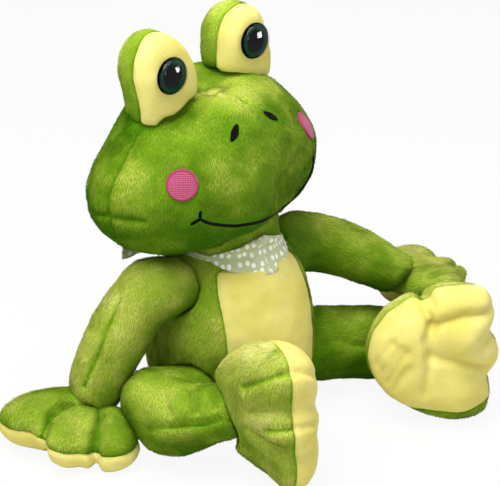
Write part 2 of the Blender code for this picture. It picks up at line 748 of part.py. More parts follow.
def make_face(frame, tree):
    """Embroidered cheeks, nostrils and mouth on the head."""
    world = WORLD_OF[frame]
    for side, name in ((-1, "right"), (1, "left")):
        rows = disc_rows(tree, world, side * CHEEK_SPACING, CHEEK_RISE, CHEEK_DIAMETER / 2,
                         CHEEK_DIAMETER / 2, 0)
        add_part("cheek_" + name, raised_patch(tree, rows, "cheek"), PINK_THREAD, frame)
        rows = disc_rows(tree, world, side * NOSTRIL_SPACING, NOSTRIL_RISE, NOSTRIL_WIDTH / 2,
                         NOSTRIL_LENGTH / 2, side * NOSTRIL_TURN, 4)
        add_part("nostril_" + name, raised_patch(tree, rows, "nostril"), BLACK_THREAD, frame)
    steps = 24
    line = []
    for index in range(steps + 1):
        share = 2 * index / steps - 1
        sag = max(0.0, 1 - share * share) ** MOUTH_CURVE_POWER
        drop = MOUTH_CORNER_DROP + (MOUTH_DROP - MOUTH_CORNER_DROP) * sag
        line.append((share * MOUTH_HALF_WIDTH, -drop))
    mouth = raised_patch(tree, stroke_rows(world, line, MOUTH_STROKE), "mouth_line")
    add_part("mouth_line", mouth, BLACK_THREAD, frame)
    for side, name in ((-1, "right"), (1, "left")):
        clear = MOUTH_STROKE
        x, z = side * (MOUTH_HALF_WIDTH + clear), -MOUTH_CORNER_DROP
        lean = x - side * clear * MOUTH_TICK_LEAN_SHARE
        tail = []
        tick = []
        for share in (0, 0.5, 1):
            run = MOUTH_TICK * share
            tail.append((x + side * run, z - MOUTH_TAIL_SLOPE_SHARE * run))
            tick.append((lean, z + clear + run))
        for kind, stroke in (("mouth_tail_", tail), ("mouth_tick_", tick)):
            rows = stroke_rows(world, stroke, MOUTH_STROKE * MOUTH_CORNER_SHARE)
            add_part(kind + name, raised_patch(tree, rows, kind), BLACK_THREAD, frame)


def pad_cage(outline, crease, reach, thickness):
    """Return the cage of a padded hand or foot: fingers along X, back of the hand up."""
    half = [(share * math.pi, radius) for share, radius in outline]
    columns = half + [(-angle, radius) for angle, radius in reversed(half[1:-1])]
    creases = (crease, len(columns) - crease)
    rings = []
    rows = [(inward, high) for inward, high in PAD_ROW_SHARES]
    levels = rows + [(inward, -high) for inward, high in reversed(rows[:-1])]
    for inward, high in levels:
        ring = []
        for index, (angle, radius) in enumerate(columns):
            groove = 1 - CREASE_SHARE * inward if index in creases else 1.0
            if high > 0:
                groove *= 1 + HEEL_LIFT_SHARE * (1 - math.cos(angle)) / 2
            ring.append(Vector((radius * reach * inward * math.cos(angle),
                                radius * reach * inward * math.sin(angle),
                                high * thickness / 2 * groove)))
        rings.append(ring)
    middle = len(rows) - 1
    return loft(rings, lambda row, column: row >= middle)


def placed_frame(centre, along, back):
    """Return the world matrix of a hand or foot from its finger and back directions."""
    x = Vector(along).normalized()
    z = Vector(back).normalized()
    y = z.cross(x).normalized()
    x = y.cross(z)
    turn = Matrix((x, y, z)).transposed()
    return Matrix.Translation(centre) @ turn.to_4x4()


def make_limb(side, name, kind, torso):
    """One arm and hand, or leg and foot, with round seats in the body and in the hand."""
    arm = kind == "arm"
    if arm:
        start = Vector((side * SHOULDER_OUT, -SHOULDER_FORWARD, SHOULDER_HEIGHT))
        axis = Vector((side, 0, 0))
        stub, length, thick = SHOULDER_STUB, ARM_LENGTH, ARM_RADIUS
        shares = RIGHT_ARM_SHARES if side < 0 else LEFT_ARM_SHARES
        radii = [thick * share for share in ARM_RADIUS_SHARES]
        end = RIGHT_HAND_SHARES if side < 0 else LEFT_HAND_SHARES
        outline, crease, reach, depth = (HAND_OUTLINE_SHARES, HAND_CREASE_COLUMN, HAND_REACH,
                                         HAND_THICKNESS)
        end_radius = WRIST_RADIUS
        end_name, panel_name, end_joint = "hand_", "palm_", "wrist_"
    else:
        start = Vector((side * HIP_OUT, -HIP_FORWARD, HIP_HEIGHT))
        axis = Vector((side * math.cos(HIP_TURN), -math.sin(HIP_TURN), 0))
        stub, length, thick = HIP_STUB, LEG_LENGTH, LEG_RADIUS
        shares = RIGHT_LEG_SHARES if side < 0 else LEFT_LEG_SHARES
        radii = [thick * share for share in LEG_RADIUS_SHARES]
        end = RIGHT_FOOT_SHARES if side < 0 else LEFT_FOOT_SHARES
        outline, crease, reach, depth = (FOOT_OUTLINE_SHARES, FOOT_CREASE_COLUMN, FOOT_REACH,
                                         FOOT_THICKNESS)
        end_radius = ANKLE_RADIUS
        end_name, panel_name, end_joint = "foot_", "sole_", "ankle_"
    fall = SHOULDER_HEIGHT if arm else length
    points = limb_route(start, axis, stub, shares, length, fall, side)
    last = points[-1]
    out = (last - points[-2]).normalized()
    points[-1] = last - out * end_radius / 2
    points += [last + out * end_radius / 2]
    radii = radii[:len(points) - 2] + [end_radius, end_radius]
    mesh = softened(limb_cage(points, axis, radii), name)
    cut_flat(mesh, start + axis * CLEARANCE, -axis)
    cut_flat(mesh, last, out)
    stood_on_floor(mesh)
    joint = empty(("shoulder_" if arm else "hip_") + name, start)
    add_part(kind + "_" + name, mesh, GREEN_PLUSH, joint)
    socket(torso, kind + "_seat_" + name, start, axis, radii[0], reach * 2)

    offset, along, back = end
    centre = last + Vector(offset) * reach
    frame = placed_frame(centre, along, back)
    pad = softened(pad_cage(outline, crease, reach, depth), end_name + name)
    pad.transform(frame)
    stood_on_floor(pad)
    panel = inlaid(pad, panel_name + name)
    tip = empty(end_joint + name, last, joint)
    form = add_part(end_name + name, pad, GREEN_PLUSH, tip)
    add_part(panel_name + name, panel, YELLOW_PLUSH, tip)
    socket(form, end_joint + "seat_" + name, last + out * CLEARANCE, -out, end_radius, reach,
           LIMB_FLARE_SHARE)


def scarf_sheet(tree, rows, name):
    """Return a cloth strip from rows of (outer place, outward direction), closed to a ring."""
    bm = bmesh.new()
    laid = [[(bm.verts.new(place), bm.verts.new(place + out * SCARF_THICKNESS)) for place, out in row]
            for row in rows]
    count = len(laid[0])
    for low, high in zip(laid, laid[1:]):
        for index in range(count):
            after = (index + 1) % count
            bm.faces.new((low[index][1], low[after][1], high[after][1], high[index][1]))
            bm.faces.new((high[index][0], high[after][0], low[after][0], low[index][0]))
    for row, flip in ((laid[0], True), (laid[-1], False)):
        for index in range(count):
            after = (index + 1) % count
            quad = (row[index][0], row[index][1], row[after][1], row[after][0])
            bm.faces.new(tuple(reversed(quad)) if flip else quad)
    return mesh_from(bm, name)


def make_scarf(tree):
    """The neck scarf: a rolled band, a draped point in front, and a knot with two tails behind."""
    levels = 5
    rows = []
    for level in range(levels + 1):
        row = []
        for index in range(SCARF_COLUMNS):
            angle = 2 * math.pi * index / SCARF_COLUMNS
            turned_away = min(angle, 2 * math.pi - angle)
            front = max(0.0, 1 - turned_away / SCARF_SPREAD)
            low = SCARF_TOP - SCARF_BAND - SCARF_DROP * front
            height = low + (SCARF_BAND + (SCARF_DROP + SCARF_RISE) * front) * level / levels
            out = Vector((math.sin(angle), -math.cos(angle), 0))
            place, _ = surface_hit(tree, Vector((0, 0, height)) + out * TORSO_HALF_WIDTH * 2, -out)
            fold = SCARF_FOLD * (1 + math.cos(SCARF_FOLDS * angle + level)) / 2
            row.append((place + out * (SCARF_LIFT + fold), out))
        rows.append(row)
    add_part("scarf", scarf_sheet(tree, rows, "scarf"), SCARF_CLOTH, None)
    behind, slope = surface_hit(tree, Vector((0, TORSO_HALF_WIDTH * 2, KNOT_HEIGHT)), Vector((0, -1, 0)))
    back = behind + Vector((0, slope.y, slope.z)).normalized() * (KNOT_RADIUS + CLEARANCE)
    bm = bmesh.new()
    bmesh.ops.create_uvsphere(bm, u_segments=12, v_segments=8, radius=1.0)
    bmesh.ops.scale(bm, verts=bm.verts, vec=(KNOT_LENGTH / 2, KNOT_RADIUS, KNOT_RADIUS))
    bmesh.ops.translate(bm, verts=bm.verts, vec=back)
    add_part("scarf_knot", mesh_from(bm, "scarf_knot"), SCARF_CLOTH, None)
    for side, name in ((-1, "right"), (1, "left")):
        rings = []
        steps = 6
        for step in range(steps + 1):
            share = step / steps
            x = side * (KNOT_LENGTH / 2 + CLEARANCE + TAIL_LENGTH * share)
            y = back.y + KNOT_RADIUS * share
            z = back.z - TAIL_DROP * share * share
            belly = math.sin(math.pi * min(share, TAIL_BELLY_SHARE))
            half = TAIL_WIDTH / 2 * (TAIL_ROOT_SHARE + (1 - TAIL_ROOT_SHARE) * belly)
            thick = SCARF_THICKNESS / 2
            rings.append([Vector((x, y - thick, z - half)), Vector((x, y + thick, z - half)),
                          Vector((x, y + thick, z + half)), Vector((x, y - thick, z + half))])
        add_part("scarf_tail_" + name, mesh_from(loft(rings), "scarf_tail"), SCARF_CLOTH, None)


def make_all():
    """Build every piece."""
    torso, torso_tree = make_torso()
    neck = empty("neck_joint", Vector((0, 0, NECK_HEIGHT)))
    turn = Matrix.Rotation(HEAD_YAW, 3, "Z") @ Matrix.Rotation(HEAD_ROLL, 3, "Y")
    frame = empty("head_frame", Vector((-HEAD_SHIFT, HEAD_BACK, HEAD_CENTRE_HEIGHT)), neck, turn)
    head, head_mesh = make_head(neck, frame)
    tree = form_tree(head_mesh)
    for side, name in ((-1, "right"), (1, "left")):
        make_bump(side, name, frame, head_mesh)
        make_limb(side, name, "arm", torso)
        make_limb(side, name, "leg", torso)
    make_face(frame, tree)
    make_scarf(torso_tree)


make_all()
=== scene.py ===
"""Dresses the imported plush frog: stuffed plush forms, embroidery, domed eyes and a dotted scarf."""

import math
from collections import namedtuple

import bmesh
import bpy
import numpy as np
from mathutils import Matrix, Vector, noise
from mathutils.bvhtree import BVHTree


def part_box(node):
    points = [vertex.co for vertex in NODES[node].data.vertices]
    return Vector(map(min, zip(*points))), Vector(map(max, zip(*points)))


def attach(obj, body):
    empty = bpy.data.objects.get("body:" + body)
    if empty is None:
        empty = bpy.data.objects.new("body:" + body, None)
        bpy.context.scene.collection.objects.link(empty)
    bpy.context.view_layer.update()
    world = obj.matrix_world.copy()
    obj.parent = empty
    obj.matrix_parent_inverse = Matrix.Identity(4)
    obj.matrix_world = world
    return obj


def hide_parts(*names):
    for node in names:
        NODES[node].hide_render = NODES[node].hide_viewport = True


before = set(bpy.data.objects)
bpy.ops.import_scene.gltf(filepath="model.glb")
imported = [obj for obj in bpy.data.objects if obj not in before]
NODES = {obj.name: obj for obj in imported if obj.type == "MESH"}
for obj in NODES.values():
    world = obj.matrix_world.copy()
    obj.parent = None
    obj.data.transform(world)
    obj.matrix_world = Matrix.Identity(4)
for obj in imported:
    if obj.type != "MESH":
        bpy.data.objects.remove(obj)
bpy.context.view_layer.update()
SCENE = bpy.context.scene

MM = 0.001
TINY = 1e-6                 # keeps a division by a length from failing at none

# ---------------------------------------------------------------- camera, light and stage
CAMERA_AZIMUTH, CAMERA_ELEVATION = -40.0, 23.0
CAMERA_DISTANCE = 1.2
CAMERA_TARGET = (37.9 * MM, 24.3 * MM, 101.2 * MM)
CAMERA_FOCAL_PIXELS, PICTURE_WIDTH, SENSOR_WIDTH = 1704.0, 500.0, 36.0
LAMP_TARGET = (0, 0, 120 * MM)
FLOOR_HALF_SIZE, FLOOR_DROP = 6, 0.5 * MM
FLOOR_GLOW_SHARE = 0.92     # the rest is matt, and takes the frog's shadow
ROOM_LIGHT, ROOM_SEEN = 0.3, 1.0


def hex_colour(text):
    """sRGB hex to the linear RGBA that Blender's sockets take."""
    values = [int(text[i:i + 2], 16) / 255 for i in (0, 2, 4)]
    return [v / 12.92 if v <= 0.04045 else ((v + 0.055) / 1.055) ** 2.4 for v in values] + [1.0]


def link(obj):
    SCENE.collection.objects.link(obj)
    return obj


def look_from(target, azimuth, elevation, distance):
    """Where a camera or lamp stands that looks at target, 0 degrees being the frog's front."""
    a, e = math.radians(azimuth), math.radians(elevation)
    back = Vector((math.sin(a) * math.cos(e), -math.cos(a) * math.cos(e), math.sin(e)))
    place = Matrix.Translation(Vector(target) + back * distance)
    return place @ back.to_track_quat("Z", "Y").to_matrix().to_4x4()


def make_camera():
    data = bpy.data.cameras.new("camera")
    data.sensor_width = SENSOR_WIDTH
    data.lens = CAMERA_FOCAL_PIXELS / PICTURE_WIDTH * SENSOR_WIDTH
    data.clip_start, data.clip_end = 0.05, 20
    camera = link(bpy.data.objects.new("camera", data))
    camera.matrix_world = look_from(CAMERA_TARGET, CAMERA_AZIMUTH, CAMERA_ELEVATION,
                                    CAMERA_DISTANCE)
    SCENE.camera = camera


def lamp(name, azimuth, elevation, distance, size, watts):
    data = bpy.data.lights.new(name, "AREA")
    data.shape, data.size, data.energy = "SQUARE", size, watts
    obj = link(bpy.data.objects.new(name, data))
    obj.matrix_world = look_from(LAMP_TARGET, azimuth, elevation, distance)
    return obj


make_camera()
lamp("key", -80, 60, 1.3, 0.7, 14.5)
lamp("overhead", -30, 85, 1.2, 0.7, 9)
lamp("front", -30, 22, 1.6, 0.4, 3.8)
lamp("eye_light", 40, 14, 1.4, 0.45, 50).visible_diffuse = False    # only gloss mirrors it
lamp("fill", 60, 35, 1.5, 1.0, 2.8)
lamp("back", 150, 45, 1.6, 1.0, 2.5)
SCENE.view_settings.view_transform = "Standard"


# ---------------------------------------------------------------- nodes and materials
COORDINATES, ATTRIBUTE, RAMP = "ShaderNodeTexCoord", "ShaderNodeAttribute", "ShaderNodeValToRGB"
NOISE, WAVE, CELLS = "ShaderNodeTexNoise", "ShaderNodeTexWave", "ShaderNodeTexVoronoi"
MATH, MIX, RANGE, BUMP = "ShaderNodeMath", "ShaderNodeMix", "ShaderNodeMapRange", "ShaderNodeBump"
PRINCIPLED, SURFACE = "ShaderNodeBsdfPrincipled", "ShaderNodeOutputMaterial"
RAYS = "ShaderNodeLightPath"
STORED, RANDOM = "GeometryNodeInputNamedAttribute", "FunctionNodeRandomValue"
TIMES, TIMES_PLUS = {"operation": "MULTIPLY"}, {"operation": "MULTIPLY_ADD"}
CLAMPED_PLUS = {"operation": "ADD", "use_clamp": True}
COLOURS, NUMBER = {"data_type": "RGBA"}, {"data_type": "FLOAT"}
VECTOR = {"data_type": "FLOAT_VECTOR"}
WAVE_TURNS = 2 * math.pi / 20       # a wave texture of this scale has one band in each metre


def add(tree, kind, settings=None, stops=(), **inputs):
    """Adds a node with its settings and colour stops.

    An input that is a node or a (node, output) pair is linked, and i3 is the input of index 3."""
    node = tree.nodes.new(kind)
    for key, value in (settings or {}).items():
        setattr(node, key, value)
    for index, (place, text) in enumerate(stops):
        elements = node.color_ramp.elements
        stop = elements[index] if index < 2 else elements.new(place)
        stop.position, stop.color = place, hex_colour(text)
    for key, value in inputs.items():
        socket = node.inputs[int(key[1:]) if key[1:].isdigit() else key.replace("_", " ")]
        if isinstance(value, bpy.types.Node):
            tree.links.new(value.outputs[0], socket)
        elif isinstance(value, tuple) and isinstance(value[0], bpy.types.Node):
            tree.links.new(value[0].outputs[value[1]], socket)
        else:
            socket.default_value = value
    return node


def new_material(name):
    material = bpy.data.materials.new(name)
    material.use_nodes = True
    tree = material.node_tree
    tree.nodes.clear()
    return material, tree


def make_stage():
    """A pale floor that keeps the frog's shadow, in a white room."""
    bm = bmesh.new()
    bmesh.ops.create_grid(bm, x_segments=1, y_segments=1, size=FLOOR_HALF_SIZE)
    mesh = bpy.data.meshes.new("floor")
    bm.to_mesh(mesh)
    bm.free()
    floor = link(bpy.data.objects.new("floor", mesh))
    floor.location.z = -FLOOR_DROP
    material, tree = new_material("pale_studio_floor")
    rays = add(tree, RAYS)
    seen = add(tree, MATH, CLAMPED_PLUS, i0=(rays, "Is Camera Ray"), i1=(rays, "Is Glossy Ray"))
    seen = add(tree, MATH, CLAMPED_PLUS, i0=seen, i1=(rays, "Is Transmission Ray"))
    share = add(tree, MATH, TIMES, i0=seen, i1=FLOOR_GLOW_SHARE)
    matt = add(tree, "ShaderNodeBsdfDiffuse", Color=hex_colour("d2d2d0"))
    glow = add(tree, "ShaderNodeEmission", Color=(1, 1, 1, 1), Strength=1.0)
    mix = add(tree, "ShaderNodeMixShader", i0=share, i1=matt, i2=glow)
    add(tree, SURFACE, Surface=mix)
    floor.data.materials.append(material)
    world = bpy.data.worlds.new("studio")
    world.use_nodes = True
    tree = world.node_tree
    tree.nodes.clear()
    rays = add(tree, RAYS)
    seen = add(tree, MATH, CLAMPED_PLUS, i0=(rays, "Is Camera Ray"), i1=(rays, "Is Glossy Ray"))
    seen = add(tree, MATH, CLAMPED_PLUS, i0=seen, i1=(rays, "Is Transmission Ray"))
    strength = add(tree, RANGE, i0=seen, i3=ROOM_LIGHT, i4=ROOM_SEEN)
    back = add(tree, "ShaderNodeBackground", Color=(1, 1, 1, 1), Strength=strength)
    add(tree, "ShaderNodeOutputWorld", Surface=back)
    SCENE.world = world


# Sizes of the materials' patterns
NAP_PATCH, KNIT, VELOUR_PATCH, VELOUR_NAP = 22 * MM, 1.4 * MM, 26 * MM, 1.1 * MM
DOT_SPACING, WEAVE = 5.6 * MM, 0.8 * MM
PINK_ROW, BLACK_ROW, NEEDLE_SHARE = 1.1 * MM, 0.9 * MM, 1.3
PRINT_CLOUD, POLISH_CLOUD, FLOW_MARK = 3 * MM, 6 * MM, 4 * MM


def green_ground():
    """Knitted ground of the plush: it shows only between the locks, darker than they are."""
    material, tree = new_material("green_minky_ground")
    place = add(tree, COORDINATES)
    patch = add(tree, NOISE, Vector=(place, "Object"), Scale=1 / NAP_PATCH, Detail=3.0)
    fine = add(tree, NOISE, Vector=(place, "Object"), Scale=1 / KNIT, Detail=2.0)
    painted_light_node = add(tree, ATTRIBUTE, {"attribute_name": "open"})
    value = add(tree, MATH, TIMES_PLUS, i0=patch, i1=0.4, i2=-0.1)
    # Painted light and shade: paler where the skin faces the key light, darker by other parts, the
    # floor and seams
    value = add(tree, MATH, TIMES_PLUS, i0=(painted_light_node, "Fac"), i1=0.5, i2=value)
    value = add(tree, MATH, TIMES_PLUS, i0=fine, i1=0.2, i2=value)
    colour = add(tree, RAMP, stops=[(0.1, "4f7d0c"), (0.45, "7ba31c"), (0.8, "a6bf3c")], Fac=value)
    rough = add(tree, RANGE, i0=fine, i3=0.85, i4=1.0)
    bump = add(tree, BUMP, Height=fine, Strength=0.5, Distance=0.6 * MM)
    shader = add(tree, PRINCIPLED, Base_Color=colour, Roughness=rough, Normal=bump,
                 Specular_IOR_Level=0.03)
    add(tree, SURFACE, Surface=shader)
    return material


def green_pile():
    """Polyester minky pile, coloured with painted light and shade: paler where it faces the key
    light, deep green in painted shade by other parts.
    """
    material, tree = new_material("green_minky_pile")
    place = add(tree, COORDINATES)
    shade = add(tree, ATTRIBUTE, {"attribute_name": "shade"})
    tip = add(tree, ATTRIBUTE, {"attribute_name": "tip"})
    painted_light_node = add(tree, ATTRIBUTE, {"attribute_name": "open"})
    patch = add(tree, NOISE, Vector=(place, "Object"), Scale=1 / NAP_PATCH, Detail=3.0)
    patch = add(tree, RANGE, i0=patch, i1=0.34, i2=0.66)
    value = add(tree, MATH, TIMES, i0=(shade, "Fac"), i1=0.12)
    value = add(tree, MATH, TIMES_PLUS, i0=patch, i1=0.28, i2=value)
    # Painted shade: each tuft is coloured darker towards its root, deep in the pile
    value = add(tree, MATH, TIMES_PLUS, i0=(tip, "Fac"), i1=0.12, i2=value)
    # Painted light and shade: paler where the skin faces the key light, darker by other parts, the
    # floor and seams
    value = add(tree, MATH, TIMES_PLUS, i0=(painted_light_node, "Fac"), i1=0.44, i2=value)
    colour = add(tree, RAMP, Fac=value,
                 stops=[(0.02, "40700c"), (0.3, "7c9c22"), (0.62, "bcc254"), (0.92, "e2dc8e")])
    rough = add(tree, RANGE, i0=(shade, "Fac"), i3=0.7, i4=0.9)
    shader = add(tree, PRINCIPLED, Base_Color=colour, Roughness=rough, Specular_IOR_Level=0.03)
    add(tree, SURFACE, Surface=shader)
    return material


def yellow_velour():
    """Sheared velour: a smooth short nap whose colour shifts softly where it has been stroked."""
    material, tree = new_material("yellow_sheared_velour")
    place = add(tree, COORDINATES)
    patch = add(tree, NOISE, Vector=(place, "Object"), Scale=1 / VELOUR_PATCH, Detail=2.0)
    fine = add(tree, NOISE, Vector=(place, "Object"), Scale=1 / VELOUR_NAP, Detail=1.0)
    value = add(tree, MATH, TIMES, i0=fine, i1=0.25)
    value = add(tree, MATH, TIMES_PLUS, i0=patch, i1=0.75, i2=value)
    colour = add(tree, RAMP, stops=[(0.3, "d4c75e"), (0.5, "dfd374"), (0.7, "e8de8a")], Fac=value)
    rough = add(tree, RANGE, i0=fine, i3=0.8, i4=0.95)
    bump = add(tree, BUMP, Height=fine, Strength=0.25, Distance=0.4 * MM)
    shader = add(tree, PRINCIPLED, Base_Color=colour, Roughness=rough, Normal=bump,
                 Specular_IOR_Level=0.1)
    add(tree, SURFACE, Surface=shader)
    return material


def sage_cotton():
    """Printed quilting cotton: white dots on sage, on a weave drawn coarser than its threads."""
    material, tree = new_material("sage_dotted_cotton")
    flat = add(tree, ATTRIBUTE, {"attribute_name": "cloth"})
    cells = add(tree, CELLS, {"voronoi_dimensions": "2D"}, Vector=(flat, "Vector"),
                Scale=1 / DOT_SPACING, Randomness=0.42)
    dot = add(tree, RANGE, i0=(cells, "Distance"), i1=0.25, i2=0.31, i3=1.0, i4=0.0)
    warp, weft = (add(tree, WAVE, {"bands_direction": way}, Vector=(flat, "Vector"),
                      Scale=WAVE_TURNS / WEAVE) for way in ("X", "Y"))
    weave = add(tree, MATH, TIMES, i0=warp, i1=weft)
    ground = add(tree, RAMP, stops=[(0.0, "afba86"), (1.0, "c6d0a0")], Fac=weave)
    colour = add(tree, MIX, COLOURS, i0=dot, i6=ground, i7=hex_colour("f6f6ee"))
    rough = add(tree, RANGE, i0=weave, i3=0.75, i4=0.9)
    bump = add(tree, BUMP, Height=weave, Strength=0.3, Distance=0.2 * MM)
    shader = add(tree, PRINCIPLED, Base_Color=(colour, 2), Roughness=rough, Normal=bump,
                 Sheen_Weight=0.06)
    add(tree, SURFACE, Surface=shader)
    return material


def satin_stitch(name, low, high, rim, row, shine):
    """Machine embroidery: rows of glossy thread crossed by needle marks, with a satin border."""
    material, tree = new_material(name)
    flat = add(tree, ATTRIBUTE, {"attribute_name": "stitch"})
    rows = add(tree, WAVE, {"bands_direction": "X"}, Vector=(flat, "Vector"),
               Scale=WAVE_TURNS / row, Distortion=1.5, Detail=1.0)
    marks = add(tree, WAVE, {"bands_direction": "Y"}, Vector=(flat, "Vector"),
                Scale=WAVE_TURNS / (row * NEEDLE_SHARE), Distortion=1.0, Detail=1.0)
    weave = add(tree, MATH, TIMES, i0=rows, i1=marks)
    colour = add(tree, RAMP, stops=[(0.0, low), (0.5, high)], Fac=weave)
    edge = add(tree, ATTRIBUTE, {"attribute_name": "rim"})
    colour = add(tree, MIX, COLOURS, i0=(edge, "Fac"), i6=colour, i7=hex_colour(rim))
    rough = add(tree, RANGE, i0=weave, i3=0.5, i4=0.7)
    bump = add(tree, BUMP, Height=weave, Strength=0.5, Distance=0.4 * MM)
    shader = add(tree, PRINCIPLED, Base_Color=(colour, 2), Roughness=rough, Normal=bump,
                 Specular_IOR_Level=shine)
    add(tree, SURFACE, Surface=shader)
    return material


def printed_iris():
    """ABS eye disc, printed with a dark green iris round a black pupil and a black edge."""
    material, tree = new_material("printed_abs_iris")
    radius = add(tree, ATTRIBUTE, {"attribute_name": "radius"})
    place = add(tree, COORDINATES)
    cloud = add(tree, NOISE, Vector=(place, "Object"), Scale=1 / PRINT_CLOUD, Detail=2.0)
    value = add(tree, MATH, TIMES_PLUS, i0=cloud, i1=0.05, i2=(radius, "Fac"))
    colour = add(tree, RAMP, Fac=value,
                 stops=[(0.62, "040505"), (0.68, "083222"), (0.86, "0e4a30"), (0.95, "040a08")])
    rough = add(tree, RANGE, i0=cloud, i3=0.35, i4=0.5)
    shader = add(tree, PRINCIPLED, Base_Color=colour, Roughness=rough, Specular_IOR_Level=0.0)
    add(tree, SURFACE, Surface=shader)
    return material


def clear_dome():
    """Clear polycarbonate dome, polished by its mould: it mirrors the lamps as crisp lights."""
    material, tree = new_material("clear_polycarbonate")
    place = add(tree, COORDINATES)
    cloud = add(tree, NOISE, Vector=(place, "Object"), Scale=1 / POLISH_CLOUD, Detail=2.0)
    rough = add(tree, RANGE, i0=cloud, i3=0.02, i4=0.04)
    shader = add(tree, PRINCIPLED, Base_Color=hex_colour("040606"), Roughness=rough,
                 Alpha=0.2, IOR=1.7)
    add(tree, SURFACE, Surface=shader)
    return material


def moulded_nylon():
    """Injection-moulded nylon of the washers, with a faint flow mark in its colour and shine."""
    material, tree = new_material("white_moulded_nylon")
    place = add(tree, COORDINATES)
    cloud = add(tree, NOISE, Vector=(place, "Object"), Scale=1 / FLOW_MARK, Detail=2.0)
    colour = add(tree, RAMP, stops=[(0.3, "dcdcd8"), (0.7, "e8e8e4")], Fac=cloud)
    rough = add(tree, RANGE, i0=cloud, i3=0.4, i4=0.5)
    bump = add(tree, BUMP, Height=cloud, Strength=0.05, Distance=0.1 * MM)
    shader = add(tree, PRINCIPLED, Base_Color=colour, Roughness=rough, Normal=bump)
    add(tree, SURFACE, Surface=shader)
    return material


make_stage()
GROUND, PILE, YELLOW, SAGE = green_ground(), green_pile(), yellow_velour(), sage_cotton()
PINK = satin_stitch("pink_rayon_stitch", "963256", "c25e80", "9a3054", PINK_ROW, shine=0.25)
BLACK_THREAD = satin_stitch("black_rayon_stitch", "050505", "0f0f0f", "050505", BLACK_ROW,
                            shine=0.02)
IRIS, CLEAR, WASHER = printed_iris(), clear_dome(), moulded_nylon()


# ---------------------------------------------------------------- stuffed skins
VOXEL = 3.4 * MM
MERGE = 0.01 * MM
SWELL_FRAMES, PRESSURE = 20, 4.0
PIN_FROM, PIN_GAIN = 0.2, 1.5       # a sewn line's hold on the cloth, from which share and how firm
SEAM_BITE = 1.9 * MM                # how deep a seam's thread draws the cloth in
SEAM_WIDTH, EDGE_WIDTH = 1.6 * MM, 1.8 * MM
NARROW_SEAM = 3                     # in mm: the thread of a narrower seam parts the pile as well
PANEL_SINK, PANEL_CLOTH = 1.5 * MM, 1.0 * MM
LUMPS = ((26 * MM, 1.1 * MM), (9 * MM, 0.5 * MM))       # the filling's unevenness: (size, height)
FLOOR_SKIN, FLOOR_PILE = 0.4 * MM, 0.1 * MM             # the lowest that they reach over the floor

# The pile's length: none from PRESSED_FROM to another solid, whole PRESSED_SPAN on, short at seams
PRESSED_FROM, PRESSED_SPAN = 0.2 * MM, 2.5 * MM
SEAM_PARTING, SEAM_PILE = 2.4 * MM, 0.2
# Painted shade on the pile: it is coloured darker with another solid nearer than ROOM, low by the
# floor and in a seam
ROOM, FLOOR_SHADE = 16 * MM, 20 * MM
SEAM_SHADE, SEAM_SHADE_WIDTH = 0.8, 1.1 * MM

# The swell and the skin's start outside the solid in mm, the nap's length as a share of
# TUFT_LENGTH
Form = namedtuple("Form", "body green yellow swell start nap")
FORMS = {
    "torso": Form("torso", "torso", "tummy_panel", 3.0, -1.0, 1.0),
    "head": Form("head", "head", None, 2.0, 1.2, 1.0),
    "eye_bump_right": Form("head", "eye_bump_right", "eye_panel_right", 1.0, 0.2, 0.45),
    "eye_bump_left": Form("head", "eye_bump_left", "eye_panel_left", 1.0, 0.2, 0.45),
    "arm_right": Form("arm_right", "arm_right", None, 2.5, 1.4, 1.0),
    "arm_left": Form("arm_left", "arm_left", None, 2.5, 1.0, 1.0),
    "hand_right": Form("hand_right", "hand_right", "palm_right", 5.0, 2.6, 0.9),
    "hand_left": Form("hand_left", "hand_left", "palm_left", 5.0, 1.8, 0.9),
    "leg_right": Form("leg_right", "leg_right", None, 3.0, 0.4, 1.0),
    "leg_left": Form("leg_left", "leg_left", None, 3.0, 0.6, 1.0),
    "foot_right": Form("foot_right", "foot_right", "sole_right", 5.0, 2.0, 0.9),
    "foot_left": Form("foot_left", "foot_left", "sole_left", 5.0, 2.0, 0.9),
}
# Painted light and shade on each form's green: how much paler or darker it is coloured for how light
# falls on it, as on the far arm and leg in the head's shadow
FORM_PAINTED_LIGHT = {
    "head": -0.5, "torso": -0.2, "arm_right": -0.12, "arm_left": -0.65, "hand_right": -0.42,
    "hand_left": -0.2, "leg_right": -0.48, "leg_left": -0.75, "foot_right": 0.04,
    "eye_bump_right": -0.25, "eye_bump_left": -0.25,
}
# Painted light and shade on the head, in mm: (axis, from, towards, tone), a painted highlight on the
# crown and painted shade on the upper head, back and chin
HEAD_PAINTED_LIGHT = [(2, 220, 228, 0.74), (2, 196, 212, -0.3), (1, 8, 11, -0.4), (2, 165, 153, -0.22)]
# How much further a yellow panel reaches than the solids' one, in mm, and how that grows with
# each mm of height
REACH = {"eye_bump_right": (9.0, 0), "eye_bump_left": (9.0, 0), "torso": (3.0, 0),
         "hand_right": (3.0, 0), "foot_left": (1.0, 0.13)}

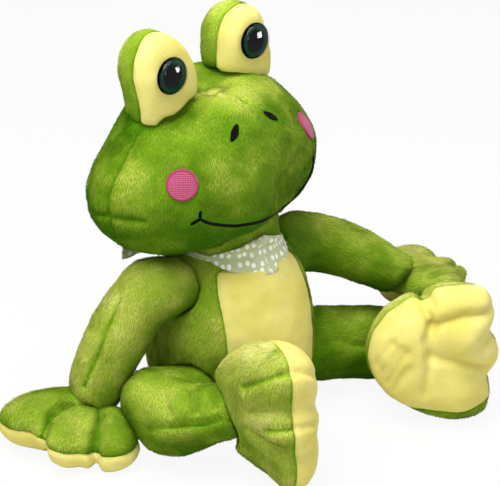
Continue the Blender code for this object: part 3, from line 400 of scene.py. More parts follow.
# Places where a form's skin is drawn over: form: [(centre, radius, movement)], in mm
DRAWN = {
    "head": [((-12, 10, 236), 18, (0, 2, -9)), ((-40, -8, 226), 14, (0.5, 4, -7)),
             ((-57, -4, 218), 12, (0.5, 1.5, -2)), ((17, -44, 167), 18, (-9.2, 7.6, 0)),
             ((-73, 36, 205), 20, (4, -4, -2)), ((-61, 37, 217), 14, (4, -4, -4))],
    "eye_bump_right": [((-73, 18, 230), 16, (4.5, -3.8, 0)), ((-33, -6, 236), 18, (8, 0, 0)),
                       ((-42, -9, 227), 12, (1, -1, -4)), ((-35, -4, 258), 14, (4.5, 0, 1))],
    "eye_bump_left": [((14, 16, 280), 18, (0, 0, -6))],
    "arm_right": [((-64, 6, 118), 22, (-2.4, 4.2, 5.0))],
    "arm_left": [((54, -3, 119), 20, (0, 0, 9)), ((112, -42, 107), 24, (-1, -1, -8))],
    "hand_left": [((135, -36, 92), 26, (0, 0, -8)), ((126, -38, 98), 20, (0, 0, -8))],
    "leg_right": [((-95, -20, 50), 24, (-7, 6, 1)), ((-80, -12, 66), 18, (-6, 5, 4)),
                  ((-86, -74, 20), 26, (1, 1.2, 5.5))],
    "leg_left": [((58, -20, 53), 20, (0, 0, 8)), ((62, -50, 14), 24, (0, 0, 8))],
    "foot_right": [((-74, -112, 20), 24, (11, -4.0, 9.0))],
    "hand_right": [((-160, 12, 6), 22, (5, -2, 6.0))],
    "foot_left": [((98, -134, 65), 13, (-4.2, -5.6, 0)), ((94, -112, 95), 14, (-3.0, -4.0, 0)),
                  ((92, -130, 25), 15, (-3.0, -4.0, 0))],
}

# Towards the key light: the pile is painted paler where it faces this way, painted light in its
# colour
KEY_LIGHT_SIDE = np.array(Vector((-0.35, -0.15, 0.92)).normalized())

# Sewn lines, in mm: (depth, half width, points, direction that a crease goes through a pad or None)
RIGHT_HAND_UP, LEFT_HAND_UP = (0, -0.06, 1), (0.02, 0.16, 0.99)
RIGHT_FOOT_UP, LEFT_FOOT_UP = (-0.90, 0.42, 0), (0.60, 0.80, 0)
HEAD_SIDE = [(-65, 8, 215), (-76, 8, 202), (-87, 8, 187), (-93, 8, 175), (-95, 6, 162),
             (-92, 7, 153), (-85, 12, 142)]
HEAD_CHIN = [(-90, 40, 160), (-94, 24, 160), (-95, 6, 162), (-89, -5, 162), (-82, -14, 162)]
HEAD_CROWN = [(-11, 8, 234), (-9, -6, 232), (-7, -15, 229), (-4, -21, 225)]
RIGHT_SLEEVE = [(-59, 5, 117), (-76, 7, 114), (-93, -1, 105), (-102, -2, 93), (-108, -2, 81),
                (-112, -1, 71), (-116, 2, 60), (-119, 6, 48)]
LEFT_SLEEVE = [(63, 2, 118), (86, -10, 118), (93, -32, 116), (104, -50, 106), (113, -58, 96)]
RIGHT_KNUCKLES = [(-129, 14, 34), (-126, 12, 34), (-118, 5, 35), (-114, 0, 33), (-113, -7, 32)]
LEFT_TOE_UPPER = [(92, -98, 90), (80, -106, 87), (77, -118, 76), (86, -123, 80), (97, -130, 83),
                  (112, -137, 82)]
LEFT_TOE_LOWER = [(77, -118, 76), (73, -117, 66), (75, -119, 55), (85, -127, 53),
                  (96, -134, 48), (110, -139, 42)]
SEAMS = {
    "head": [(1.6, 2.2, HEAD_SIDE, None), (1.4, 2.0, HEAD_CHIN, None),
             (1.2, 1.8, HEAD_CROWN, None)],
    "arm_right": [(1.6, 2.0, RIGHT_SLEEVE, None)],
    "arm_left": [(1.4, 2.0, LEFT_SLEEVE, None)],
    "hand_right": [
        (7.0, 2.4, [(-129, 14, 34), (-141, 14, 29), (-149, 9, 25), (-155, 5, 23), (-163, 2, 18)],
         RIGHT_HAND_UP),
        (7.0, 2.4, [(-113, -7, 32), (-122, -14, 30), (-129, -20, 24), (-136, -27, 17)],
         RIGHT_HAND_UP),
        (2.5, 2.4, RIGHT_KNUCKLES, None)],
    "hand_left": [
        (6.0, 2.6, [(122, -63, 89), (131, -63, 89), (157, -58, 81), (170, -55, 75)], LEFT_HAND_UP),
        (6.0, 2.6, [(121, -74, 86), (135, -76, 86), (152, -80, 78)], LEFT_HAND_UP)],
    "leg_right": [
        (1.6, 2.0, [(-105, -44, 33), (-99, -63, 40), (-85, -79, 43), (-77, -85, 47)], None),
        (1.6, 3.4, [(-87, -38, 55), (-93, -48, 53), (-97, -56, 49)], None),
        (1.6, 3.4, [(-76, -51, 57), (-84, -63, 56), (-87, -71, 50)], None),
        (1.6, 3.4, [(-69, -66, 59), (-75, -74, 57), (-77, -79, 53)], None)],
    "leg_left": [(1.6, 2.0, [(50, -40, 41), (61, -46, 41), (73, -56, 40)], None)],
    "foot_right": [
        (1.6, 2.0, [(-73, -103, 76), (-72, -118, 86), (-64, -128, 91), (-53, -132, 92)],
         RIGHT_FOOT_UP),
        (1.6, 2.0, [(-74, -120, 52), (-70, -131, 56), (-61, -137, 57), (-44, -136, 54)],
         RIGHT_FOOT_UP)],
    "foot_left": [
        (5.5, 2.8, LEFT_TOE_UPPER, LEFT_FOOT_UP), (5.5, 2.8, LEFT_TOE_LOWER, LEFT_FOOT_UP),
        (3.0, 2.8, [(75, -119, 55), (74, -118, 39), (74, -117, 27)], LEFT_FOOT_UP),
        (2.0, 2.2, [(52, -87, 40), (59, -100, 63)], None),
        (2.0, 2.2, [(53, -91, 35), (61, -105, 60)], None),
        (2.0, 2.2, [(55, -95, 29), (63, -109, 58)], None),
        (2.0, 2.2, [(58, -98, 23), (64, -110, 46)], None)],
}


def cad_mesh(*names):
    """A bmesh of CAD nodes, with each node's loose triangles merged."""
    bm = bmesh.new()
    for name in names:
        bm.from_mesh(NODES[name].data)
    bmesh.ops.remove_doubles(bm, verts=bm.verts, dist=MERGE)
    return bm


def to_object(bm, name):
    mesh = bpy.data.meshes.new(name)
    bm.to_mesh(mesh)
    bm.free()
    return link(bpy.data.objects.new(name, mesh))


def applied(obj):
    """Replaces obj's mesh by the one its modifiers give."""
    graph = bpy.context.evaluated_depsgraph_get()
    mesh = bpy.data.meshes.new_from_object(obj.evaluated_get(graph), depsgraph=graph,
                                           preserve_all_data_layers=True)
    obj.modifiers.clear()
    old = obj.data
    obj.data = mesh
    bpy.data.meshes.remove(old)
    return obj


def with_modifier(obj, kind, **settings):
    modifier = obj.modifiers.new(kind.lower(), kind)
    for key, value in settings.items():
        setattr(modifier, key, value)
    return applied(obj)


def places(obj):
    co = np.empty(len(obj.data.vertices) * 3)
    obj.data.vertices.foreach_get("co", co)
    return co.reshape(-1, 3)


def outward(obj):
    normals = np.empty(len(obj.data.vertices) * 3)
    obj.data.vertex_normals.foreach_get("vector", normals)
    return normals.reshape(-1, 3)


def put(obj, co):
    obj.data.vertices.foreach_set("co", co.ravel())
    obj.data.update()


def set_attribute(obj, name, values):
    kind = "FLOAT_VECTOR" if values.ndim == 2 else "FLOAT"
    attribute = obj.data.attributes.get(name) or obj.data.attributes.new(name, kind, "POINT")
    attribute.data.foreach_set("vector" if values.ndim == 2 else "value",
                               values.astype(np.float32).ravel())


def get_attribute(obj, name):
    values = np.empty(len(obj.data.vertices), np.float32)
    obj.data.attributes[name].data.foreach_get("value", values)
    return values


def along(points, step=0.8 * MM):
    """Points no further apart than step on a line given in mm."""
    corners = [Vector(p) * MM for p in points]
    found = [corners[0]]
    for a, b in zip(corners, corners[1:]):
        count = max(1, int((b - a).length / step))
        found += [a.lerp(b, k / count) for k in range(1, count + 1)]
    return np.array(found)


def distance_to_line(co, line, through=None):
    """Each place's distance to a line of points, past the depth of a pad where through is given."""
    if through is not None:
        axis = np.array(through) / np.linalg.norm(through)
        co = co - np.outer(co @ axis, axis)
        line = line - np.outer(line @ axis, axis)
    best = np.full(len(co), 1.0)
    for p in line:
        np.minimum(best, np.linalg.norm(co - p, axis=1), out=best)
    return best


def tree_of(*names):
    bm = cad_mesh(*names)
    bmesh.ops.triangulate(bm, faces=bm.faces)
    tree = BVHTree.FromBMesh(bm)
    bm.free()
    return tree


def distances(tree, co):
    return np.array([tree.find_nearest(Vector(p))[3] for p in co])


def head_mirror(points):
    """The same places on the head's other side, about the plane between its eyes, in mm."""
    a = sum(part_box("eye_base_right"), Vector()) / 2 / MM
    b = sum(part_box("eye_base_left"), Vector()) / 2 / MM
    across, middle = (b - a).normalized(), (a + b) / 2
    return [tuple(Vector(p) - across * 2 * (Vector(p) - middle).dot(across)) for p in points]


SEAMS["head"] += [(d, w, head_mirror(p), t) for d, w, p, t in SEAMS["head"][:2]]


def start_form(form):
    """The closed skin of a form: its solids remeshed and pulled in where sewn."""
    kept = FORMS[form]
    obj = to_object(cad_mesh(*[n for n in (kept.green, kept.yellow) if n]), form)
    with_modifier(obj, "REMESH", mode="VOXEL", voxel_size=VOXEL, adaptivity=0)
    with_modifier(obj, "SMOOTH", factor=0.5, iterations=2)
    co = places(obj)
    if kept.yellow:
        base, climb = REACH.get(form, (0, 0))
        reach = base * MM + climb * (co[:, 2] - co[:, 2].mean())
        to_green, to_yellow = (distances(tree_of(n), co) for n in (kept.green, kept.yellow))
        set_attribute(obj, "field", to_green - to_yellow + reach)
    inward = -outward(obj)
    push = np.full(len(co), -kept.start * MM)
    pin = np.zeros(len(co))
    for depth, width, points, through in SEAMS.get(form, []):
        near = distance_to_line(co, along(points), through) / (width * MM)
        push += depth * MM * np.exp(-near * near)
        pin = np.maximum(pin, np.exp(-near * near))
    co += inward * push[:, None]
    for centre, radius, movement in DRAWN.get(form, []):
        gap = np.linalg.norm(co - np.array(centre) * MM, axis=1) / (radius * MM)
        co += np.exp(-gap * gap)[:, None] * np.array(movement) * MM
    put(obj, co)
    group = obj.vertex_groups.new(name="sewn")
    for index in np.nonzero(pin > PIN_FROM)[0]:
        group.add([int(index)], float(min(1.0, pin[index] * PIN_GAIN)), "REPLACE")
    return obj


def swell_all(skins):
    """Stuffs every skin at once with Cloth pressure, then caps how far each point moved."""
    before = {form: places(obj) for form, obj in skins.items()}
    for obj in skins.values():
        cloth = obj.modifiers.new("stuffing", "CLOTH")
        cloth.settings.use_pressure = True
        cloth.settings.uniform_pressure_force = PRESSURE
        cloth.settings.effector_weights.gravity = 0
        cloth.settings.quality = 5
        cloth.settings.tension_stiffness = cloth.settings.compression_stiffness = 10
        cloth.settings.bending_stiffness = 0.2
        cloth.settings.vertex_group_mass = "sewn"
        cloth.point_cache.frame_start, cloth.point_cache.frame_end = 1, SWELL_FRAMES
    for number in range(1, SWELL_FRAMES + 1):
        SCENE.frame_set(number)
    for form, obj in skins.items():
        applied(obj)
        co = places(obj)
        moved = co - before[form]
        length = np.linalg.norm(moved, axis=1)
        share = np.minimum(1, FORMS[form].swell * MM / np.maximum(length, TINY * MM))
        put(obj, before[form] + moved * share[:, None])
    SCENE.frame_set(1)


def cut_panel(obj):
    """Cuts the skin along the seam of its green and yellow cloths and returns the seam's places."""
    bm = bmesh.new()
    bm.from_mesh(obj.data)
    layer = bm.verts.layers.float["field"]
    for turn in range(4):
        average = [(v, sum(e.other_vert(v)[layer] for e in v.link_edges) / len(v.link_edges))
                   for v in bm.verts]
        for v, value in average:
            v[layer] = (v[layer] + value) / 2
    for edge in list(bm.edges):
        a, b = edge.verts
        if a[layer] * b[layer] >= 0:
            continue
        share = a[layer] / (a[layer] - b[layer])
        near, far, share = (a, b, share) if share < 0.5 else (b, a, 1 - share)
        if share < 0.25:
            near.co = near.co.lerp(far.co, share)
            near[layer] = 0
    for edge in list(bm.edges):
        a, b = edge.verts
        if a[layer] * b[layer] < 0:
            share = a[layer] / (a[layer] - b[layer])
            new = bmesh.utils.edge_split(edge, a, share)[1]
            new[layer] = 0
    bmesh.ops.connect_verts(bm, verts=[v for v in bm.verts if v[layer] == 0])
    bm.normal_update()
    rim = [e for e in bm.edges
           if len(e.link_faces) == 2 and e.verts[0][layer] == 0 and e.verts[1][layer] == 0
           and sum(sum(v[layer] for v in f.verts) > 0 for f in e.link_faces) == 1]
    line = np.array([(e.verts[0].co + e.verts[1].co) / 2 for e in rim])
    bm.to_mesh(obj.data)
    bm.free()
    return line


def lumps(co, scale, amount):
    """A soft unevenness of the stuffing, as a height at each place."""
    return np.array([noise.noise(Vector(p) / scale) for p in co]) * amount


def painted_light_at(form, co):
    """Painted light and shade on the nap at places in mm: per form, and on the head by its panels."""
    value = np.full(len(co), FORM_PAINTED_LIGHT.get(form, 0.0))
    for axis, start, end, amount in HEAD_PAINTED_LIGHT if form == "head" else ():
        value += amount * np.clip((co[:, axis] - start) / (end - start), 0, 1)
    return value


def shape_form(obj, form):
    """Fines the stuffed skin, cuts its panel, sews its seams and gives each point its pile."""
    kept = FORMS[form]
    with_modifier(obj, "SUBSURF", levels=1, render_levels=1)
    line = cut_panel(obj) if kept.yellow else None
    co, normal = places(obj), outward(obj)
    push = np.zeros(len(co))
    near = np.full(len(co), 1.0)
    if line is not None:
        near = distance_to_line(co, line)
        push += SEAM_BITE * np.exp(-near / EDGE_WIDTH)
    for depth, width, points, through in SEAMS.get(form, []):
        gap = distance_to_line(co, along(points), through)
        push += SEAM_BITE * np.exp(-gap / SEAM_WIDTH)
        near = np.minimum(near, gap) if width < NARROW_SEAM else near
    push -= sum(lumps(co, size, height) for size, height in LUMPS)
    co -= normal * push[:, None]
    co[:, 2] = np.maximum(co[:, 2], FLOOR_SKIN)
    put(obj, co)
    others = [n for n in NODES
              if n not in (kept.green, kept.yellow) and "washer" not in n and "base" not in n]
    clear = distances(tree_of(*others), co)
    pressed = np.clip((clear - PRESSED_FROM) / PRESSED_SPAN, 0, 1)
    pile = np.clip(near / SEAM_PARTING, SEAM_PILE, 1) * pressed * kept.nap
    # Painted shade: darker where another solid lies nearer than ROOM and near the floor
    clear_of_painted_shade = np.clip(clear / ROOM, 0, 1) * np.clip(co[:, 2] / FLOOR_SHADE, 0.3, 1)
    # Painted light: the pile and its ground are coloured paler where they face the key light
    faces_key_light = 0.5 + 0.5 * (outward(obj) @ KEY_LIGHT_SIDE)
    # Painted shade in the seams' grooves
    seam_painted_shade = SEAM_SHADE * np.exp(-(near / SEAM_SHADE_WIDTH) ** 2)
    set_attribute(obj, "open", faces_key_light * (0.55 + 0.45 * clear_of_painted_shade) + painted_light_at(form, co / MM) - seam_painted_shade)
    panel = None
    if kept.yellow:
        field = get_attribute(obj, "field")
        panel = link(bpy.data.objects.new(kept.yellow + "_cloth", obj.data.copy()))
        bm = bmesh.new()
        bm.from_mesh(panel.data)
        layer = bm.verts.layers.float["field"]
        green_faces = [f for f in bm.faces if sum(v[layer] for v in f.verts) <= 0]
        bmesh.ops.delete(bm, geom=green_faces, context="FACES")
        bm.to_mesh(panel.data)
        bm.free()
        with_modifier(panel, "SOLIDIFY", thickness=PANEL_CLOTH, offset=-1)
        inside = field > 0
        co[inside] -= outward(obj)[inside] * PANEL_SINK
        put(obj, co)
        pile = np.where(inside, 0, pile)
    set_attribute(obj, "pile", pile)
    set_attribute(obj, "rise", outward(obj))
    return panel


# ---------------------------------------------------------------- plush pile
TUFT_LENGTH = 3.4 * MM
TUFT_WIDTH = 0.36 * MM
TUFTS_PER_SQUARE_METRE = 800000
TUFT_LEAN = 0.3        # share of the surface's normal in a tuft's direction
TUFT_JITTER = 0.1
TUFT_SIZES = (0.65, 1.15)       # shares of the length, from the shortest to the longest
TUFT_SEED = 7
BARE = 0.12             # where the pile would be shorter than this share, there is none
SWIRL_SIZE, SWIRL, SWIRL_SEED = 34 * MM, 0.9, 5
noise.seed_set(SWIRL_SEED)      # without it, noise_vector swirls the pile another way on each run
PATCH_MARGIN, PATCH_PARTING = 0.6 * MM, 1.5 * MM        # bare cloth round the embroidery
SKIN_SHADING = 0.75     # how far a tuft is shaded as the skin under it is
TUFT_CORNERS = ((0.2, 0.2), (0.8, 0.2), (0.5, 0.8), (0.5, 0.4))


def make_tuft():
    """One lock of pile: a thin three-sided spike with its root at the origin."""
    bm = bmesh.new()
    bmesh.ops.create_cone(bm, cap_ends=True, segments=3, radius1=1, radius2=0, depth=1)
    bmesh.ops.translate(bm, verts=bm.verts, vec=(0, 0, 0.5))
    tip = bm.verts.layers.float.new("tip")
    for v in bm.verts:
        v[tip] = v.co.z
    mesh = bpy.data.meshes.new("tuft")
    bm.to_mesh(mesh)
    bm.free()
    for face in mesh.polygons:
        face.use_smooth = True
    return bpy.data.objects.new("tuft", mesh)


def pile_group(name, tuft, density, length, width, seed):
    """Geometry nodes that scatter tufts over a skin, laid along its lay attribute."""
    tree = bpy.data.node_groups.new(name, "GeometryNodeTree")
    tree.interface.new_socket("Geometry", in_out="INPUT", socket_type="NodeSocketGeometry")
    tree.interface.new_socket("Geometry", in_out="OUTPUT", socket_type="NodeSocketGeometry")
    start = add(tree, "NodeGroupInput")
    pile = add(tree, STORED, NUMBER, Name="pile")
    kept = add(tree, MATH, {"operation": "GREATER_THAN"}, i0=pile, i1=BARE)
    amount = add(tree, MATH, TIMES, i0=kept, i1=density)
    points = add(tree, "GeometryNodeDistributePointsOnFaces", Mesh=start, Density=amount, Seed=seed)
    lay = add(tree, STORED, VECTOR, Name="lay")
    jitter = add(tree, RANDOM, VECTOR, i0=(-TUFT_JITTER,) * 3, i1=(TUFT_JITTER,) * 3, Seed=seed + 1)
    way = add(tree, "ShaderNodeVectorMath", {"operation": "ADD"}, i0=lay, i1=jitter)
    turn = add(tree, "FunctionNodeAlignRotationToVector", {"axis": "Z"}, Vector=way)
    size = add(tree, RANDOM, NUMBER, i2=TUFT_SIZES[0], i3=TUFT_SIZES[1], Seed=seed + 2)
    high = add(tree, MATH, TIMES, i0=(size, 1), i1=pile)
    tall = add(tree, MATH, TIMES, i0=high, i1=length)
    scale = add(tree, "ShaderNodeCombineXYZ", X=width, Y=width, Z=tall)
    shape = add(tree, "GeometryNodeObjectInfo", Object=tuft)
    placed = add(tree, "GeometryNodeInstanceOnPoints", Points=points, Instance=(shape, "Geometry"),
                 Rotation=turn, Scale=scale)
    shade = add(tree, RANDOM, NUMBER, i2=0.0, i3=1.0, Seed=seed + 3)
    marked = add(tree, "GeometryNodeStoreNamedAttribute", NUMBER | {"domain": "INSTANCE"},
                 Geometry=placed, Name="shade", Value=(shade, 1))
    real = add(tree, "GeometryNodeRealizeInstances", Geometry=marked)
    add(tree, "NodeGroupOutput", Geometry=real)
    return tree


# Which way the pile is brushed on each form, before it is bent to the surface
BRUSHED = {
    "torso": (0, -0.1, -1), "head": (0, -0.2, -1),
    "eye_bump_right": (-0.2, 0.2, -1), "eye_bump_left": (0.2, 0.2, -1),
    "arm_right": (-0.6, 0, -1), "arm_left": (0.8, -0.8, -0.5),
    "hand_right": (-0.88, -0.47, -0.3), "hand_left": (0.86, -0.47, -0.2),
    "leg_right": (-0.2, -0.8, -0.6), "leg_left": (0.9, -0.6, -0.2),
    "foot_right": (-0.2, -0.5, -1), "foot_left": (0, 0, -1),
}


def brush(obj, form):
    """Gives each point the direction in which its pile lies."""
    co, normal = places(obj), outward(obj)
    way = np.array(BRUSHED[form], float)
    way /= np.linalg.norm(way)
    swirl = np.array([noise.noise_vector(Vector(p) / SWIRL_SIZE) for p in co]) * SWIRL
    way = way + swirl
    way -= normal * np.sum(way * normal, axis=1)[:, None]
    way /= np.maximum(np.linalg.norm(way, axis=1), TINY)[:, None]
    lay = way * math.sqrt(1 - TUFT_LEAN ** 2) + normal * TUFT_LEAN
    set_attribute(obj, "lay", lay)


def make_pile(obj, form, group):
    """The realised pile of a skin, shaded as softly as the skin it stands on.

    Each tuft has its own small cell of the map that its colour is kept in."""
    pile = link(bpy.data.objects.new(form + "_pile", obj.data.copy()))
    pile.data.materials.clear()
    modifier = pile.modifiers.new("pile", "NODES")
    modifier.node_group = group
    applied(pile)
    smooth_faces(pile, PILE, FORMS[form].body)
    tuft = np.arange(len(pile.data.vertices)) // len(TUFT_CORNERS)
    row = math.ceil(math.sqrt(tuft[-1] + 1))
    flat = np.array(TUFT_CORNERS)[np.arange(len(tuft)) % len(TUFT_CORNERS)]
    flat = (flat + np.column_stack((tuft % row, tuft // row))) / row
    corners = np.empty(len(pile.data.loops), np.int32)
    pile.data.loops.foreach_get("vertex_index", corners)
    pile.data.uv_layers.new(name="OFBake").data.foreach_set("uv", flat[corners].ravel())
    rise = np.empty(len(tuft) * 3, np.float32)
    pile.data.attributes["rise"].data.foreach_get("vector", rise)
    soft = rise.reshape(-1, 3) * SKIN_SHADING + outward(pile) * (1 - SKIN_SHADING)
    soft /= np.linalg.norm(soft, axis=1)[:, None]
    for name in ("rise", "lay", "pile", "field"):
        if name in pile.data.attributes:
            pile.data.attributes.remove(pile.data.attributes[name])
    co = places(pile)
    co[:, 2] = np.maximum(co[:, 2], FLOOR_PILE)
    put(pile, co)
    pile.data.normals_split_custom_set_from_vertices(soft)


# ---------------------------------------------------------------- face
def smooth_faces(obj, material, body):
    """Shades a finished piece smooth, gives it its finish and lets it ride."""
    obj.data.materials.clear()
    obj.data.materials.append(material)
    obj.data.shade_smooth()
    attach(obj, body)
    return obj


def built_tree(obj):
    bm = bmesh.new()
    bm.from_mesh(obj.data)
    tree = BVHTree.FromBMesh(bm)
    bm.free()
    return tree


def middle(name):
    low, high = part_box(name)
    return (low + high) / 2


def axis_to(axis, origin):
    return Matrix.Translation(origin) @ Vector(axis).to_track_quat("Z", "Y").to_matrix().to_4x4()


def lathe(name, profile, steps, matrix=None):
    """A closed turned piece from a profile of (radius, height) in mm."""
    bm = bmesh.new()
    ring = [bm.verts.new((r * MM, 0, h * MM)) for r, h in profile]
    edges = [bm.edges.new(pair) for pair in zip(ring, ring[1:])]
    bmesh.ops.spin(bm, geom=ring + edges, cent=(0, 0, 0), axis=(0, 0, 1), angle=2 * math.pi,
                   steps=steps, use_merge=True)
    bmesh.ops.remove_doubles(bm, verts=bm.verts, dist=0.001 * MM)
    bmesh.ops.recalc_face_normals(bm, faces=bm.faces)
    radius = bm.verts.layers.float.new("radius")
    widest = max(r for r, h in profile) * MM
    for v in bm.verts:
        v[radius] = v.co.xy.length / widest
    if matrix:
        bm.transform(matrix)
    return to_object(bm, name)


def head_normal(tree, place, reach):
    """The head's average outward direction round a place."""
    point, normal, index, gap = tree.find_nearest(place)
    total = normal.copy()
    side = normal.orthogonal().normalized()
    for turn in range(8):
        way = Matrix.Rotation(turn * math.pi / 4, 3, normal) @ side
        total += tree.find_nearest(point + way * reach)[1]
    return total.normalized()


CHEEK_PROFILE = [(0, 1.7), (3, 1.7), (6, 1.65), (8.7, 1.6), (9.3, 1.5), (9.6, 1.8), (10.2, 1.9),
                 (10.8, 1.5), (11.0, 0.6), (10.8, -0.6), (0, -0.6)]
CHEEK_SHARE = 0.94      # how wide the disc is laid against its profile
CHEEK_RIM = 9.4 * MM


def make_cheek(name, skin):
    """An embroidered disc with a satin border, laid on the head's own curve."""
    centre = middle(name)
    normal = head_normal(skin, centre, 7 * MM)
    obj = lathe(name + "_stitched", CHEEK_PROFILE, 56)
    co = places(obj)
    set_attribute(obj, "stitch", co.copy())
    set_attribute(obj, "rim", (np.linalg.norm(co[:, :2], axis=1) > CHEEK_RIM).astype(float))
    frame_at = axis_to(normal, centre)
    for index, p in enumerate(co):
        over = frame_at @ Vector((p[0] * CHEEK_SHARE, p[1] * CHEEK_SHARE, 20 * MM))
        hit = skin.ray_cast(over, -normal)[0] or skin.find_nearest(over)[0]
        co[index] = hit + normal * p[2]
    put(obj, co)
    smooth_faces(obj, PINK, "head")
    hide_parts(name)
    return obj


HEAD_AXES = Matrix.Rotation(math.radians(5), 3, "Z") @ Matrix.Rotation(math.radians(-6), 3, "Y")
HEAD_MIDDLE = Vector((-9, 21, 187)) * MM
STITCH_HEIGHT, STITCH_LIFT = 2.0, 0.35 * MM
# Strokes on the head's front: (places across and up from its middle, width, share of each end
# that narrows), in mm
MOUTH = [(-52.5, -19.1), (-49, -22), (-44.9, -24.6), (-35.2, -28.8), (-28.8, -30.6),
         (-20.8, -32.2), (-10, -34.2), (0, -36.2), (9.5, -38.6), (20, -40), (30, -38.5),
         (40, -32.5), (48, -25), (52.5, -19.1)]
STROKES = {
    "mouth_line": (MOUTH, 2.1, 0.02),
    "mouth_tail_right": ([(-52.0, -19.0), (-55.0, -20.3), (-57.6, -22.6)], 2.1, 0.2),
    "mouth_tick_right": ([(-52.3, -19.4), (-52.6, -16.6), (-51.4, -13.2)], 2.0, 0.2),
    "nostril_right": ([(-11.6, 31.4), (-16.3, 27.4), (-21.2, 23.2)], 5.4, 0.5),
}
for name in ("mouth_tail", "mouth_tick", "nostril"):
    way, width, ends = STROKES[name + "_right"]
    STROKES[name + "_left"] = ([(-x, z) for x, z in way], width, ends)


def make_stroke(name, skin):
    """A satin-stitched stroke: a rod with narrowing ends, bent along its path on the head."""
    way, width, ends = STROKES[name]
    flat = np.array(way, float)
    steps = np.r_[0, np.cumsum(np.linalg.norm(np.diff(flat, axis=0), axis=1))]
    count = max(10, int(steps[-1] / 0.9))
    spots = np.linspace(0, steps[-1], count)
    path = np.column_stack([np.interp(spots, steps, flat[:, k]) for k in (0, 1)])
    for turn in range(6):
        path[1:-1] = (path[:-2] + 2 * path[1:-1] + path[2:]) / 4
    seats, normals = [], []
    for x, z in path:
        start = HEAD_MIDDLE + HEAD_AXES @ Vector((x, -140, z)) * MM
        seat = skin.ray_cast(start, HEAD_AXES @ Vector((0, 1, 0)))[0]
        seats.append(seat)
        normals.append(head_normal(skin, seat, 3 * MM))
    share = np.linspace(0, 1, count)
    taper = np.sqrt(np.clip(np.minimum(share, 1 - share) / ends, 0, 1))
    taper = np.where(share * (1 - share) == 0, 0, np.maximum(taper, 0.25))
    rod = lathe(name + "_stitched", [(width / 2 * t, k) for k, t in enumerate(taper)], 14)
    co = places(rod)
    stitch = co * (1, 1, 0.9)
    for index, p in enumerate(co):
        k = min(count - 1, round(p[2] / MM))
        ahead = (seats[min(k + 1, count - 1)] - seats[max(k - 1, 0)]).normalized()
        side = ahead.cross(normals[k]).normalized()
        rise = p[1] * STITCH_HEIGHT / width + STITCH_LIFT
        co[index] = seats[k] + side * p[0] + normals[k] * rise
    put(rod, co)
    set_attribute(rod, "stitch", stitch)
    set_attribute(rod, "rim", np.zeros(len(co)))
    smooth_faces(rod, BLACK_THREAD, "head")
    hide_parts(name)
    return rod


EYE_BASE = [(0, 2.2), (5, 2.2), (8, 2.2), (9.6, 2.2), (10.8, 2.2), (11.6, 2.1), (12.0, 1.6),
            (12.1, 1.1), (12.0, 0.5), (11.6, 0.1), (10.5, 0)]
EYE_STEM = [(2.6, 0), (2.6, -4), (3.0, -4.5), (2.6, -5), (2.6, -6.5), (3.0, -7), (2.6, -7.5),
            (2.2, -9), (0, -9)]
DOME_RADIUS, DOME_HEIGHT, DOME_STEPS = 11.7, 6.0, 30
DISC_SINK, DOME_SINK = 3.1 * MM, 1.1 * MM


def make_eye(side):
    """A safety eye: a printed disc on its ribbed stem, under a clear dome."""
    base, lens = "eye_base_" + side, "eye_lens_" + side
    flat = cad_mesh(lens)
    inner = sum((v.co for v in flat.verts), Vector()) / len(flat.verts)
    axis = (inner - middle("eye_washer_" + side)).normalized()
    seat = inner + axis * min((v.co - inner).dot(axis) for v in flat.verts)
    flat.free()
    disc = lathe(base + "_printed", EYE_BASE + EYE_STEM, 96, axis_to(axis, seat - axis * DISC_SINK))
    smooth_faces(disc, IRIS, "head")
    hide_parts(base)
    turns = [step / DOME_STEPS * math.pi / 2 for step in range(DOME_STEPS)]
    dome = [(DOME_RADIUS * math.sin(t), DOME_HEIGHT * math.cos(t)) for t in turns]
    dome += [(DOME_RADIUS, 0.3), (DOME_RADIUS - 0.2, 0), (0, 0)]
    clear = lathe("eye_dome_" + side, dome, 96, axis_to(axis, seat - axis * DOME_SINK))
    smooth_faces(clear, CLEAR, "head")
    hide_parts(lens)


# ---------------------------------------------------------------- scarf
SCARF_COLUMNS, SCARF_LEVELS = 144, 16
SCARF_TOP_Z, SCARF_BAND_HEIGHT, SCARF_POINT_DROP, SCARF_FRONT_RISE = 123.6, 3.2, 9.5, 13.0
SCARF_SPREAD_ANGLE = math.radians(62)
SCARF_ROLL = ((0.86, 0.13), (0.66, 0.05))       # the rolled edge and the groove under it, by height
HEM = 0.5 * MM


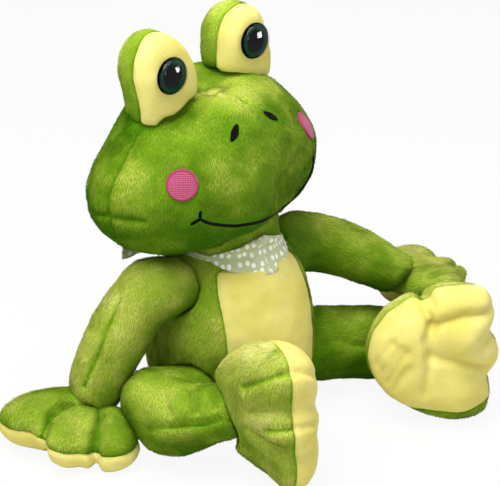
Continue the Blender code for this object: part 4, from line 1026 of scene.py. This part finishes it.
def make_scarf(torso_skin):
    """The neck cloth: a rolled band and a draped point in front, one sheet with its folds."""
    bm = bmesh.new()
    bmesh.ops.create_grid(bm, x_segments=SCARF_COLUMNS, y_segments=SCARF_LEVELS, size=0.5)
    cloth = bm.verts.layers.float_vector.new("cloth")
    for v in bm.verts:
        turn, level = v.co.x + 0.5, v.co.y + 0.5
        angle = 2 * math.pi * turn
        away = min(angle, 2 * math.pi - angle)
        front = max(0.0, 1 - away / SCARF_SPREAD_ANGLE)
        point = front * front * (3 - 2 * front)
        low = SCARF_TOP_Z - SCARF_BAND_HEIGHT - SCARF_POINT_DROP * math.sin(front * math.pi / 2)
        height = low + (SCARF_TOP_Z + SCARF_FRONT_RISE * front - low) * level
        out = Vector((math.sin(angle), -math.cos(angle), 0))
        hit = torso_skin.ray_cast(Vector((0, 0, height * MM)) + out * 0.15, -out)[0]
        band_fold = (1 + math.cos(9 * angle + 5 * level)) / 2
        point_fold = (1 + math.sin(13 * angle - 4 * level)) / 2
        fold = 0.9 * band_fold + 0.9 * point * point_fold
        edge, groove = (math.exp(-((level - at) / wide) ** 2) for at, wide in SCARF_ROLL)
        roll = 2.4 * edge * point - 0.8 * groove * point
        v.co = hit + out * (1.3 + fold + roll) * MM
        v[cloth] = Vector((turn * 0.24, height * MM, 0))
    bmesh.ops.remove_doubles(bm, verts=bm.verts, dist=MERGE)
    bmesh.ops.recalc_face_normals(bm, faces=bm.faces)
    obj = to_object(bm, "scarf_cloth")
    area = sum(p.area for p in obj.data.polygons)
    with_modifier(obj, "SOLIDIFY", thickness=HEM, offset=-1)
    smooth_faces(obj, SAGE, "torso")
    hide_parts("scarf")
    return obj, area


def make_knot_and_tails():
    """The tied knot behind the neck and its two hemmed ends."""
    made = []
    low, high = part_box("scarf_knot")
    bm = bmesh.new()
    bmesh.ops.create_uvsphere(bm, u_segments=32, v_segments=20, radius=1)
    cloth = bm.verts.layers.float_vector.new("cloth")
    half, centre = (high - low) / 2, (high + low) / 2
    for v in bm.verts:
        turn = math.atan2(v.co.z, v.co.y)
        pleat = 1 + 0.07 * math.sin(7 * turn + 3 * v.co.x) * (1 - v.co.x ** 2)
        v[cloth] = Vector((v.co.x * half.x, turn * half.z, 0))
        v.co = Vector((v.co.x * half.x * 0.97, v.co.y * half.y * pleat * 0.95,
                       v.co.z * half.z * pleat * 0.95)) + centre
    knot = to_object(bm, "scarf_knot_cloth")
    smooth_faces(knot, SAGE, "torso")
    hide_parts("scarf_knot")
    for side, sign in (("right", -1), ("left", 1)):
        name = "scarf_tail_" + side
        low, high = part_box(name)
        bm = bmesh.new()
        bmesh.ops.create_grid(bm, x_segments=40, y_segments=12, size=0.5)
        cloth = bm.verts.layers.float_vector.new("cloth")
        tree = tree_of(name)
        length = high.x - low.x
        for v in bm.verts:
            share, across = v.co.x + 0.5, v.co.y * 2
            x = (low.x if sign > 0 else high.x) + sign * length * (0.01 + 0.98 * share)
            ends = [tree.find_nearest(Vector((x, (low.y + high.y) / 2, z)))[0]
                    for z in (low.z - 0.02, high.z + 0.02)]
            centre = (ends[0] + ends[1]) / 2
            half = abs(ends[1].z - ends[0].z) / 2
            ripple = 0.8 * MM * math.sin(share * 9 + across * 2.2) * share
            v[cloth] = Vector((share * length, across * 7 * MM, 0))
            v.co = Vector((x, centre.y + ripple, centre.z + across * half))
        bmesh.ops.recalc_face_normals(bm, faces=bm.faces)
        tail = to_object(bm, name + "_cloth")
        area = sum(p.area for p in tail.data.polygons)
        with_modifier(tail, "SOLIDIFY", thickness=HEM, offset=0)
        smooth_faces(tail, SAGE, "torso")
        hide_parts(name)
        made.append((tail, length, area))
    return knot, made


# ---------------------------------------------------------------- assembly
SKINS = {form: start_form(form) for form in FORMS}
swell_all(SKINS)
PANELS = {form: shape_form(obj, form) for form, obj in SKINS.items()}
HEAD_SKIN = built_tree(SKINS["head"])
ON_HEAD = [make_cheek("cheek_right", HEAD_SKIN), make_cheek("cheek_left", HEAD_SKIN)]
ON_HEAD += [make_stroke(name, HEAD_SKIN) for name in STROKES]
for side in ("right", "left"):
    make_eye(side)
    washer = NODES["eye_washer_" + side]
    for slot in washer.material_slots:
        slot.material = WASHER

SCARF, SCARF_AREA = make_scarf(built_tree(SKINS["torso"]))
KNOT, TAILS = make_knot_and_tails()

TUFT = make_tuft()
GREEN_PILE = pile_group("green_pile", TUFT, TUFTS_PER_SQUARE_METRE, TUFT_LENGTH, TUFT_WIDTH,
                        TUFT_SEED)
for form, obj in SKINS.items():
    kept = FORMS[form]
    if form == "head":
        co, pile = places(obj), get_attribute(obj, "pile")
        for patch in ON_HEAD:
            gap = distances(built_tree(patch), co)
            pile = pile * np.clip((gap - PATCH_MARGIN) / PATCH_PARTING, 0, 1)
        set_attribute(obj, "pile", pile)
    brush(obj, form)
    smooth_faces(obj, GROUND, kept.body)
    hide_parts(kept.green)
    make_pile(obj, form, GREEN_PILE)
    panel = PANELS[form]
    if panel is not None:
        smooth_faces(panel, YELLOW, kept.body)
        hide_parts(kept.yellow)
